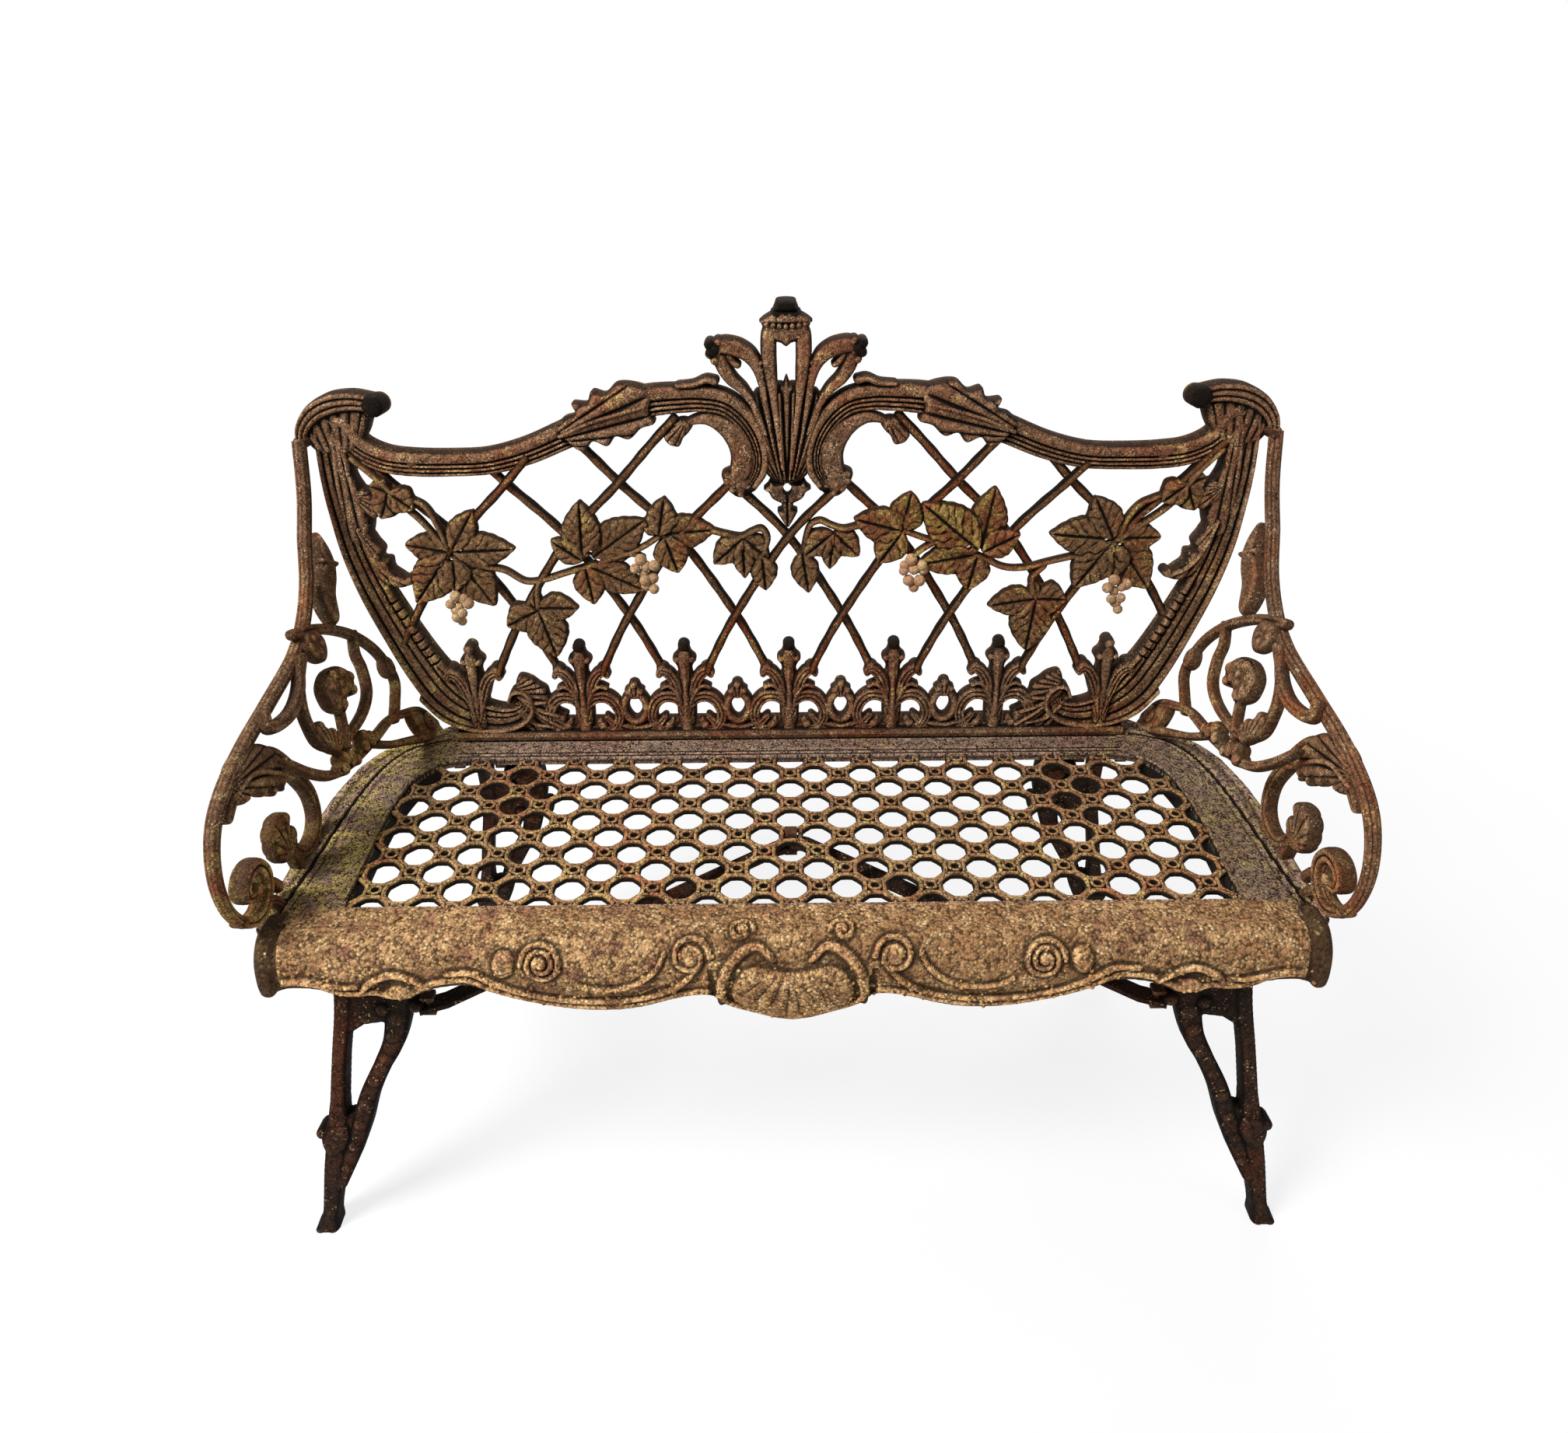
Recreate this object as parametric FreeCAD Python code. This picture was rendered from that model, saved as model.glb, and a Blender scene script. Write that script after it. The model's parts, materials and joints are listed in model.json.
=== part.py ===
import FreeCAD, Part
import math
import os

# Cast iron garden bench. Millimetres, +Z up, the sitter faces -Y, origin on the floor under the middle.
# Ornament is drawn on flat panels: across is X on the back and Y on an arm, up is along the panel.

# Seat
seat_height = 430.0
seat_half_width = 548.0
seat_reach = 386.0
seat_rear_y = 207.0
plate_thickness = 8.0
skirt_drop = 28.0
skirt_wall = 8.0
hole_pitch = 60.0
hole_width = 34.0
hole_corner = 11.0
dot_diameter = 8.0
border_side = 64.0
border_front = 18.0
border_rear = 88.0
hub_setback = 238.0

# Apron
apron_wall = 9.0
apron_bulge = 40.0
apron_end_drop = 64.0
apron_middle_drop = 112.0

# Back
back_rise = 540.0
back_lean = 5.0
frame_depth = 24.0
boss_proud = 5.0
gallery_depth = 18.0
bar_width = 10.0
bar_depth = 7.0
vine_depth = 6.0
foot_rail_height = 16.0
foot_rail_depth = 40.0
fleur_pitch = 132.0
bar_foot = 104.0
grape_radius = 7.0

# Arms
arm_bar_width = 18.0
arm_bar_height = 17.0
arm_rise = 390.0
scroll_depth = 13.0
rear_scroll_lean = 20.0
arm_overhang = 7.0
lug_wall = 8.0
lug_width = 32.0
lug_reach = 40.0
lug_rise = 12.0
arm_lug_up = 392.0

# Legs and braces
leg_depth = 22.0
leg_splay = 9.0
leg_flange = 8.0
rear_leg_inset = 80.0
boss_drop = 14.0
boss_diameter = 22.0
boss_inset = 4.0
brace_width = 20.0
brace_thickness = 6.0
brace_drop = 112.0

# Fasteners
bolt_diameter = 8.0
bolt_clearance = 0.5
head_width = 14.0
head_height = 5.0
nut_height = 6.0
nut_width = 14.0
arm_bolt_bite = 12.0

# Sizes that the ornament was drawn for, so that a changed bench stretches it
drawn_half_width = 548.0
drawn_reach = 386.0
drawn_rise = 540.0
drawn_arm_rise = 390.0
drawn_leg_height = 400.0

stretch_x = seat_half_width / drawn_half_width
stretch_y = seat_reach / drawn_reach
stretch_up = back_rise / drawn_rise
stretch_arm = arm_rise / drawn_arm_rise
hole_diameter = bolt_diameter + bolt_clearance
seat_front_y = seat_rear_y - seat_reach
back_y = seat_rear_y - foot_rail_depth + frame_depth / 2
vec = FreeCAD.Vector


def smooth(points):
    curve = Part.BSplineCurve()
    curve.interpolate([vec(a, 0, b) for a, b in points])
    return curve


def prism(face, front, deep):
    solid = face.extrude(vec(0, deep, 0))
    solid.translate(vec(0, front, 0))
    return solid


def ribbon(points, widths, front, deep):
    """A flat bar along a smooth line, whose width runs through the given widths."""
    curve = smooth(points)
    steps = 3 * (len(points) - 1)
    first, last = curve.FirstParameter, curve.LastParameter
    knots = curve.getKnots()
    sides = ([], [])
    for step in range(steps + 1):
        at = first + (last - first) * step / steps
        span = max(i for i in range(len(knots)) if knots[i] <= at + 1e-9)
        span = min(span, len(knots) - 2)
        share = (at - knots[span]) / (knots[span + 1] - knots[span])
        index = span * (len(widths) - 1) / (len(knots) - 1)
        place = index + share * (len(widths) - 1) / (len(knots) - 1)
        low = min(int(place + 1e-9), len(widths) - 2)
        half = (widths[low] + (widths[low + 1] - widths[low]) * (place - low)) / 2
        point, slope = curve.value(at), curve.tangent(at)[0]
        normal = vec(-slope.z, 0, slope.x)
        sides[0].append(point + normal * half)
        sides[1].append(point - normal * half)
    edges = []
    for side in sides:
        edge = Part.BSplineCurve()
        edge.interpolate(side)
        edges.append(edge.toShape())
    for end in (0, -1):
        edges.append(Part.makeLine(sides[0][end], sides[1][end]))
    face = Part.Face(Part.Wire(Part.__sortEdges__(edges)))
    return prism(face, front, deep)


def petal(points, front, deep):
    """A plate whose closed outline runs smoothly through the points."""
    curve = Part.BSplineCurve()
    curve.interpolate([vec(a, 0, b) for a, b in points], PeriodicFlag=True)
    return prism(Part.Face(Part.Wire(curve.toShape())), front, deep)


def plate(points, front, deep):
    """A plate with straight sides between the points."""
    corners = [vec(a, 0, b) for a, b in points]
    return prism(Part.Face(Part.makePolygon(corners + corners[:1])), front, deep)


def both_sides(points):
    """The outline of half a symmetric figure, closed with its mirror image."""
    return points + [(-a, b) for a, b in reversed(points) if abs(a) > 1e-6]


def disc(a, b, radius, front, deep):
    return Part.makeCylinder(radius, deep, vec(a, front, b), vec(0, 1, 0))


def joined(shapes):
    return shapes[0].fuse(shapes[1:]).removeSplitter()


def largest(shape):
    return max(shape.Solids, key=lambda solid: solid.Volume)


def opposite(shape):
    return shape.mirror(vec(0, 0, 0), vec(1, 0, 0))


def flipped(points):
    return [(-a, b) for a, b in points]


def shifted(points, across):
    return [(a + across, b) for a, b in points]


def export(name, *solids):
    shape = solids[0] if len(solids) == 1 else Part.makeCompound(list(solids))
    shape.exportStep("parts/" + name + ".step")


def bolt(length, head, width):
    """A square-headed bolt whose head stands on z = 0 and whose shank points down."""
    shank = Part.makeCylinder(bolt_diameter / 2, length, vec(0, 0, -length))
    top = Part.makeBox(width, width, head, vec(-width / 2, -width / 2, 0))
    return top.fuse(shank).removeSplitter()


def nut():
    """A square nut that hangs below z = 0."""
    body = Part.makeBox(nut_width, nut_width, nut_height, vec(-nut_width / 2, -nut_width / 2, -nut_height))
    return body.cut(Part.makeCylinder(hole_diameter / 2, nut_height, vec(0, 0, -nut_height)))


def placed(shape, point, axis=vec(0, 0, 1), angle=0.0):
    copy = shape.copy()
    copy.Placement = FreeCAD.Placement(point, FreeCAD.Rotation(axis, angle)).multiply(copy.Placement)
    return copy


# Seat

def seat_outline(inset):
    """The plan of the seat: straight front and rear, sides that curve in towards the back."""
    half = seat_half_width - inset
    front = seat_front_y + inset
    rear = seat_rear_y - inset
    waist = (507 * stretch_x - inset, seat_rear_y - 97 * stretch_y)
    side = (540 * stretch_x - inset, seat_rear_y - 245 * stretch_y)
    corner = (479 * stretch_x - inset, seat_rear_y - 45 * stretch_y - inset / 2)
    heel = 430 * stretch_x - inset
    edges = []
    for sign in (1, -1):
        edges.append(Part.Arc(vec(sign * half, front, 0), vec(sign * side[0], side[1], 0),
                              vec(sign * waist[0], waist[1], 0)).toShape())
        edges.append(Part.Arc(vec(sign * waist[0], waist[1], 0), vec(sign * corner[0], corner[1], 0),
                              vec(sign * heel, rear, 0)).toShape())
    edges.append(Part.makeLine(vec(heel, rear, 0), vec(-heel, rear, 0)))
    edges.append(Part.makeLine(vec(half, front, 0), vec(-half, front, 0)))
    return Part.Wire(Part.__sortEdges__(edges))


def octagon(x, y, low, high):
    """One opening of the grille, cut off at the lattice's front and rear edges."""
    half = hole_width / 2
    corner = half - hole_corner
    points = [(half, corner), (corner, half), (-corner, half), (-half, corner),
              (-half, -corner), (-corner, -half), (corner, -half), (half, -corner)]
    corners = []
    for a, b in points:
        corners.append(vec(x + a, min(max(y + b, low), high), 0))
    return Part.makePolygon(corners + corners[:1])


lattice_half = seat_half_width - border_side
lattice_front = seat_front_y + border_front
lattice_rear = seat_rear_y - border_rear
hub_y = seat_rear_y - hub_setback

leg_bolt_x = [458.0 * stretch_x, 512.0 * stretch_x]
front_leg_y = seat_front_y + boss_inset + boss_diameter / 2
rear_leg_y = seat_rear_y - border_rear / 2
leg_bolt_places = []
for sign in (1, -1):
    for x in leg_bolt_x:
        leg_bolt_places += [(sign * x, front_leg_y), (sign * (x - rear_leg_inset), rear_leg_y)]
arm_bolt_y = [seat_front_y + 48 * stretch_y, seat_front_y + 146 * stretch_y]
arm_bolt_z = seat_height - plate_thickness - (skirt_drop - plate_thickness) / 2
lug_inner_x = seat_half_width - lug_reach
lug_end_x = seat_half_width + lug_wall
arm_x = seat_half_width + arm_overhang - arm_bar_width / 2
back_bolt_x = [66.0 * stretch_x, 330.0 * stretch_x]
back_bolt_y = seat_rear_y - 18.0


def grille_holes():
    rows = int((lattice_rear - lattice_front) / (hole_pitch / 2)) + 1
    holes = []
    half = hole_width / 2
    for row in range(-rows, rows + 1):
        y = hub_y + row * hole_pitch / 2
        low, high = max(y - half, lattice_front), min(y + half, lattice_rear)
        if high - low < hole_corner + 2:
            continue
        offset = hole_pitch / 2 if row % 2 == 0 else 0.0
        count = int((lattice_half - half - offset) / hole_pitch)
        for column in range(-count - 1, count + 1):
            x = column * hole_pitch + offset
            if abs(x) + half > lattice_half:
                continue
            holes.append(octagon(x, y, lattice_front, lattice_rear))
            dot_x = x + hole_pitch / 2
            whole = lattice_front < y - half and y + half < lattice_rear
            if whole and dot_x + half < lattice_half and not (row == 0 and abs(dot_x) < 1):
                holes.append(Part.Wire(Part.makeCircle(dot_diameter / 2, vec(dot_x, y, 0))))
    holes.append(Part.Wire(Part.makeCircle(hole_diameter / 2, vec(0, hub_y, 0))))
    return holes


def seat_plate():
    openings = grille_holes()
    for x in back_bolt_x:
        for sign in (1, -1):
            openings.append(Part.Wire(Part.makeCircle(hole_diameter / 2, vec(sign * x, back_bolt_y, 0))))
    slab = Part.makeFace([seat_outline(0)] + openings, "Part::FaceMakerBullseye")
    slab = slab.extrude(vec(0, 0, plate_thickness))
    slab.translate(vec(0, 0, seat_height - plate_thickness))
    drop = skirt_drop - plate_thickness
    skirt = Part.makeFace([seat_outline(0), seat_outline(skirt_wall)], "Part::FaceMakerBullseye")
    skirt = skirt.extrude(vec(0, 0, drop))
    skirt.translate(vec(0, 0, seat_height - skirt_drop))
    front_gap = Part.makeBox(4 * seat_half_width, boss_diameter + 2 * apron_wall, seat_height,
                             vec(-2 * seat_half_width, seat_front_y - apron_wall, 0))
    inside = Part.Face(seat_outline(0)).extrude(vec(0, 0, drop))
    inside.translate(vec(0, 0, seat_height - skirt_drop))
    lower = [skirt.cut(front_gap)]
    under = seat_height - plate_thickness - boss_drop
    for x, y in leg_bolt_places:
        lower.append(Part.makeCylinder(boss_diameter / 2, boss_drop, vec(x, y, under)))
    for y in arm_bolt_y:
        block = Part.makeBox(seat_half_width - lug_inner_x, lug_width, drop,
                             vec(lug_inner_x, y - lug_width / 2, seat_height - skirt_drop)).common(inside)
        lower += [block, opposite(block)]
    holes = []
    for x, y in leg_bolt_places:
        holes.append(Part.makeCylinder(hole_diameter / 2, boss_drop, vec(x, y, under)))
    for y in arm_bolt_y:
        holes.append(Part.makeCylinder(hole_diameter / 2, 4 * seat_half_width,
                                       vec(-2 * seat_half_width, y, arm_bolt_z), vec(1, 0, 0)))
    return joined([slab, joined(lower).cut(holes)])


# Apron

def front_apron():
    """A rolled shell in front of the seat, with a scalloped lower edge and eared ends."""
    drop = apron_middle_drop + 10
    profile = [(0, 0), (-0.45 * apron_bulge, 1.0), (-0.85 * apron_bulge, -14), (-apron_bulge, -40),
               (-0.9 * apron_bulge, -70), (-0.72 * apron_bulge, -drop)]
    inner = [(0, -plate_thickness), (-0.4 * apron_bulge, -apron_wall),
             (-0.85 * apron_bulge + apron_wall, -20), (-apron_bulge + apron_wall, -42),
             (-0.9 * apron_bulge + apron_wall, -70), (-0.72 * apron_bulge + apron_wall, -drop)]
    outer_edge, inner_edge = smooth(profile).toShape(), smooth(inner).toShape()
    ends = [Part.makeLine(vec(p[0], 0, p[1]), vec(q[0], 0, q[1])) for p, q in
            ((profile[0], inner[0]), (profile[-1], inner[-1]))]
    face = Part.Face(Part.Wire(Part.__sortEdges__([outer_edge, inner_edge] + ends)))
    length = 2 * seat_half_width
    shell = face.extrude(vec(0, length, 0))
    shell = placed(shell, vec(seat_half_width, seat_front_y, seat_height), vec(0, 0, 1), 90)
    edge = [(0, -apron_middle_drop), (36, -102), (62, -84), (84, -70), (105, -73), (140, -86), (190, -95),
            (240, -92), (290, -79), (330, -62), (370, -56), (430, -62), (470, -62), (505, -54),
            (drawn_half_width, -apron_end_drop)]
    edge = [(a * stretch_x, b) for a, b in edge]
    scallop = smooth([(-a, b) for a, b in reversed(edge[1:])] + edge).toShape()
    top = 10.0
    corner = edge[-1]
    sides = [Part.makeLine(vec(-corner[0], 0, corner[1]), vec(-corner[0], 0, top)),
             Part.makeLine(vec(-corner[0], 0, top), vec(corner[0], 0, top)),
             Part.makeLine(vec(corner[0], 0, top), vec(corner[0], 0, corner[1]))]
    outline = Part.Face(Part.Wire(Part.__sortEdges__([scallop] + sides)))
    front_view = prism(outline, seat_front_y - 2 * apron_bulge, 3 * apron_bulge)
    front_view.translate(vec(0, 0, seat_height))
    return largest(shell.common(front_view))


# Back, drawn flat in X and up, then leaned

frame_front = -frame_depth / 2
gallery_front = -gallery_depth / 2 - 1


def on_back(points):
    return [(a * stretch_x, b * stretch_up) for a, b in points]


def leaned(shape):
    return placed(shape, vec(0, back_y, seat_height), vec(1, 0, 0), -back_lean)


def foot_rail():
    half = 430.0 * stretch_x
    corner = vec(-half, seat_rear_y - foot_rail_depth, seat_height)
    return Part.makeBox(2 * half, foot_rail_depth, foot_rail_height, corner)


def bar_cup(across):
    """The cup at the end of a side curl, with the flat seat that a trellis bar stands on."""
    wide = 0.75 * bar_width
    low, high = (bar_foot - 14) * stretch_up, bar_foot * stretch_up
    narrow = 0.6 * wide
    corners = [(across - wide, high), (across + wide, high), (across + narrow, low), (across - narrow, low)]
    return plate(corners, gallery_front, gallery_depth)


def fleur():
    """One fleur-de-lis with its two side curls and the pair of scrolls that it stands on."""
    body = both_sides([(0, 133), (9, 122), (14, 108), (8, 90), (11, 72), (12, 50), (10, 8)])
    curl = [(4, 58), (11, 78), (20, 92), (32, 97)]
    scroll = [(6, 52), (22, 57), (37, 46), (40, 28), (30, 10)]
    shapes = [petal(on_back(body), gallery_front, gallery_depth)]
    for line in (curl, flipped(curl), scroll, flipped(scroll)):
        shapes.append(ribbon(on_back(line), [13, 11, 8], gallery_front, gallery_depth))
    return shapes + [bar_cup(mark * fleur_pitch / 4) for mark in (1, -1)]


def crown():
    """The small bud between two fleurs, on its open ring."""
    bud = both_sides([(0, 79), (8, 70), (11, 59), (7, 48)])
    ring = [(-12, 52), (-15, 36), (-9, 18), (0, 10), (9, 18), (15, 36), (12, 52)]
    return [petal(on_back(bud), gallery_front, gallery_depth),
            ribbon(on_back(ring), [8, 7, 8], gallery_front, gallery_depth)]


def foot_leaf():
    """The leaf that runs out from the bottom volute of the stile along the foot rail."""
    return petal(on_back([(338, 84), (318, 76), (302, 54), (284, 30), (286, 8), (330, 8), (340, 40)]),
                 gallery_front, gallery_depth)


def right_stile():
    line = [(538, 394), (533, 345), (527, 300), (517, 245), (503, 190), (485, 140), (464, 98), (438, 62),
            (408, 36), (374, 21), (346, 26), (332, 46), (342, 65), (358, 58)]
    widths = [34, 36, 38, 37, 36, 37, 38, 36, 32, 26, 20, 16, 13, 10]
    roll = [(559, 390), (558, 412), (541, 430), (515, 437), (490, 438), (468, 436)]
    lily_x = 3 * fleur_pitch
    bract = [(511, 332), (496, 303), (488, 280), (476, 262), (472, 240), (461, 226), (466, 210), (482, 218),
             (498, 240), (512, 262)]
    lily = both_sides([(0, 131), (9, 120), (13, 107), (8, 90), (11, 72), (12, 40)])
    curl = [(4, 60), (11, 78), (20, 92), (32, 97)]
    deep = frame_depth
    shapes = [ribbon(on_back(line), widths, frame_front, deep),
              ribbon(on_back(roll), [22, 27, 28, 24, 20], frame_front - 3, deep + 3),
              disc(466 * stretch_x, 434 * stretch_up, 13.5, frame_front - boss_proud, deep + boss_proud),
              disc(arm_x, arm_lug_up * stretch_up, 14, frame_front - boss_proud, deep + boss_proud),
              petal(on_back(bract), frame_front + 3, deep - 6),
              petal(on_back(shifted(lily, lily_x / stretch_x)), gallery_front, gallery_depth),
              bar_cup(lily_x - fleur_pitch / 4)]
    for arm in (curl, flipped(curl)):
        line = on_back(shifted(arm, lily_x / stretch_x))
        shapes.append(ribbon(line, [13, 11, 8], gallery_front, gallery_depth))
    return joined(shapes)


def right_top_rail():
    line = [(498, 424), (490, 396), (468, 373), (435, 362), (390, 360), (345, 362), (300, 373), (255, 391),
            (205, 411), (165, 423), (125, 428), (90, 424), (64, 406), (50, 380), (47, 350)]
    widths = [28, 31, 32, 31, 30, 30, 31, 32, 36, 40, 38, 36, 36, 34, 30]
    wrap = [(248, 420), (208, 443), (160, 447), (150, 404), (190, 384), (236, 372)]
    bud = [(150, 408), (128, 396), (134, 380), (145, 388)]
    return joined([ribbon(on_back(line), widths, frame_front, frame_depth),
                   petal(on_back(wrap), frame_front - 3, frame_depth + 3),
                   petal(on_back(bud), gallery_front, gallery_depth)])


def back_crest():
    """Palmette with a middle loop, two side loops, the volutes at its foot and the hanging tassel."""
    front, deep = frame_front - 2, frame_depth + 2
    heart = both_sides([(0, 456), (20, 448), (36, 424), (45, 392), (42, 360), (24, 338), (0, 318)])
    loop = [(16, 430), (23, 462), (26, 490), (14, 512), (0, 516)]
    loop = loop + [(-a, b) for a, b in reversed(loop[:-1])]
    side = [(20, 438), (44, 472), (66, 489), (80, 480), (74, 456), (54, 430), (34, 408)]
    collar = [(-27, 510), (27, 510), (22, 528), (12, 528), (12, 540), (-12, 540), (-12, 528), (-22, 528)]
    volute = [(40, 372), (58, 364), (70, 344), (60, 323), (44, 326), (46, 342)]
    wing = [(0, 312), (16, 314), (32, 326)]
    tassel = both_sides([(0, 283), (13, 296), (9, 308), (12, 322)])
    shapes = [petal(on_back(heart), front, deep), ribbon(on_back(loop), [18, 16, 18], front, deep),
              plate(on_back(collar), front - 2, deep + 4),
              petal(on_back(tassel), gallery_front, gallery_depth)]
    for mark in (1, -1):
        for line, widths in ((side, [16, 14, 16]), (volute, [26, 22, 16, 12]), (wing, [12, 9])):
            points = line if mark > 0 else flipped(line)
            shapes.append(ribbon(on_back(points), widths, front, deep))
        shapes.append(disc(mark * 80 * stretch_x, 483 * stretch_up, 11, front - 2, deep + 4))
        shapes.append(disc(mark * 55 * stretch_x, 338 * stretch_up, 17, front - 2, deep + 4))
    return joined(shapes)


def bar_line(start):
    """A trellis bar sweeps up and flattens: it starts at a fleur and crosses its neighbours on the way."""
    steps = [(0.2, 88), (0.25, bar_foot), (0.5, 168), (1.0, 268), (1.5, 335), (1.8, 378), (2.05, 412)]
    return [((start + step) * fleur_pitch, up * stretch_up) for step, up in steps]


def trellis(frame, mark, front):
    """All bars of one slant, cut off where they stand on a fleur and where they meet the frame."""
    below = Part.makeBox(4 * seat_half_width, 4 * bar_depth, bar_foot * stretch_up,
                         vec(-2 * seat_half_width, -2 * bar_depth, 0))
    bars = []
    for start in range(-4, 3):
        line = bar_line(start)
        if start in (-2, -1):
            line = line[:5]
        if mark < 0:
            line = flipped(line)
        bar = leaned(ribbon(line, [bar_width, bar_width], front, bar_depth).cut(below))
        near = [piece for piece in frame if piece.BoundBox.intersect(bar.BoundBox)]
        bars.append(largest(bar.cut(near)))
    return bars


def vine_leaf(across, up, size, turn, lobes):
    """A lobed leaf: each lobe is a point on the far side of two shoulders, with a notch between lobes."""
    points = []
    spread = 300.0 / lobes
    for lobe in range(lobes):
        middle = turn + 180.0 + 30.0 + spread * (lobe + 0.5)
        reach = size * (1.0 - 0.18 * (lobe % 2))
        for swing, share in ((-0.5, 0.42), (-0.3, 0.8), (0.0, 1.0), (0.3, 0.8)):
            angle = math.radians(middle + swing * spread)
            points.append((across + reach * share * math.sin(angle), up + reach * share * math.cos(angle)))
    end = math.radians(turn + 180.0 - 30.0)
    points.append((across + 0.42 * size * math.sin(end), up + 0.42 * size * math.cos(end)))
    return points


def grapes(across, up, front):
    """A hanging bunch, three rows that narrow downwards."""
    berries = []
    for row, count in enumerate((3, 2, 1)):
        for index in range(count):
            a = across * stretch_x + (index - (count - 1) / 2) * 1.6 * grape_radius
            b = up * stretch_up + (1 - row) * 1.5 * grape_radius
            berries.append(Part.makeSphere(grape_radius, vec(a, front + vine_depth - grape_radius, b)))
    return berries


def right_vine():
    front = -bar_depth - vine_depth
    leaves = [(404, 254, 62, 180, 5), (462, 326, 30, 100, 3), (236, 254, 60, 320, 5), (134, 276, 46, 60, 3),
              (60, 250, 36, 200, 3), (302, 168, 46, 200, 3)]
    stems = [[(510, 384), (481, 345), (441, 312), (404, 254)],
             [(404, 254), (361, 238), (325, 223), (288, 223), (236, 240), (172, 263), (134, 276), (92, 268),
              (60, 250)],
             [(325, 223), (312, 200), (302, 168)]]
    shapes = [plate(on_back(vine_leaf(*leaf)), front, vine_depth) for leaf in leaves]
    shapes += [ribbon(on_back(stem), [10, 8, 7], front, vine_depth) for stem in stems]
    shapes += grapes(402, 192, front) + grapes(172, 230, front)
    berry_stalk = [(404, 240), (402, 196)], [(190, 258), (172, 232)]
    shapes += [ribbon(on_back(stalk), [8, 8], front, vine_depth) for stalk in berry_stalk]
    return shapes


# Arms, drawn flat in Y and up

def on_arm(points):
    """Drawn from the grille's rear row of openings and the seat; the back end follows the back's lean."""
    rear = seat_rear_y - 118 * stretch_y
    return [(rear + a * stretch_y, b * stretch_arm) for a, b in points]


def arm_upright(shape, x, lean=0.0):
    """Stands a panel drawn in X and up on the right side of the seat, tipped outwards by the lean."""
    turned = placed(shape, vec(0, 0, 0), vec(0, 0, 1), 90)
    return placed(turned, vec(x, 0, seat_height), vec(0, 1, 0), lean)


def lug(y):
    length = lug_end_x - lug_inner_x
    return Part.makeBox(length, lug_width, skirt_drop + lug_rise,
                        vec(lug_inner_x, y - lug_width / 2, seat_height - skirt_drop))


def arm_top():
    """Where the arm rail meets the corner of the back: depth and height above the seat."""
    lean = math.radians(back_lean)
    up = arm_lug_up * stretch_up
    ahead = frame_depth / 2 + boss_proud
    return back_y + up * math.sin(lean) - ahead * math.cos(lean), up * math.cos(lean)


def right_arm_rail(others):
    line = on_arm([(86, 333), (58, 290), (28, 245), (-14, 214), (-60, 199), (-139, 189), (-205, 182),
                   (-255, 170), (-288, 154), (-308, 130), (-318, 98), (-314, 62), (-296, 34), (-270, 28),
                   (-250, 44), (-254, 68), (-276, 76), (-288, 58)])
    top_y, top_z = arm_top()
    line = [(top_y + 14, top_z)] + line
    high, low = arm_bar_height, 0.62 * arm_bar_height
    rail = ribbon(line, [high] * 12 + [low] * 7, -arm_bar_width / 2, arm_bar_width)
    eye = disc(*on_arm([(-270, 54)])[0], 11, -arm_bar_width / 2, arm_bar_width)
    neck = ribbon(on_arm([(-262, 30), (-240, 12), (-230, -8)]), [12, 16], -arm_bar_width / 2, arm_bar_width)
    rail = arm_upright(joined([rail, eye, neck]), arm_x)
    shape = joined([rail, lug(arm_bolt_y[0])]).cut(others)
    return largest(shape)


def right_front_scroll(others):
    front = -scroll_depth / 2
    line = on_arm([(-268, 148), (-232, 166), (-190, 162), (-150, 130), (-122, 82), (-110, 40), (-120, 12),
                   (-146, 4), (-170, 18), (-182, 44)])
    leaf = on_arm([(-250, 158), (-226, 178), (-192, 176), (-166, 160), (-172, 146), (-198, 150),
                   (-228, 150)])
    heart = disc(*on_arm([(-194, 60)])[0], 17, front, scroll_depth)
    shape = joined([ribbon(line, [16, 22, 24, 18, 14, 12, 12, 11, 11, 12], front, scroll_depth), heart,
                    petal(leaf, front, scroll_depth)])
    shape = arm_upright(shape, arm_x)
    return largest(joined([shape, lug(arm_bolt_y[1])]).cut(others))


def right_rear_scroll(others):
    front = -scroll_depth / 2
    arch = on_arm([(-34, 232), (-4, 220), (28, 203), (61, 177), (86, 142), (88, 108), (64, 80), (34, 64)])
    ring = on_arm([(61, 177), (42, 138), (6, 114), (-44, 107), (-96, 116), (-120, 142), (-110, 171),
                   (-82, 195), (-52, 212)])
    stem = on_arm([(-178, 152), (-162, 128), (-144, 106), (-118, 92), (-66, 88), (-19, 75), (38, 62),
                   (84, 44), (106, 6)])
    drop = on_arm([(-86, 222), (-104, 196), (-128, 184), (-150, 190), (-146, 208)])
    spindle = on_arm([(96, 278), (80, 250), (62, 216), (44, 190)])
    rosette = on_arm([(-30, 196), (-6, 176), (-10, 146), (-34, 124), (-56, 148), (-54, 180)])
    foot = on_arm([(-30, 130), (-44, 106), (-60, 88)])
    bars = [(arch, [15, 14, 13, 12]), (ring, [12, 11, 11]), (stem, [8, 13, 13, 14]), (drop, [14, 13, 16]),
            (spindle, [9, 20, 9]), (foot, [14, 12, 16])]
    shapes = [ribbon(line, widths, front, scroll_depth) for line, widths in bars]
    shapes.append(petal(rosette, front - 5, scroll_depth + 5))
    base = 467.0 * stretch_x
    shape = arm_upright(joined(shapes), base, rear_scroll_lean)
    return largest(shape.cut(others))


# Legs

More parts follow.
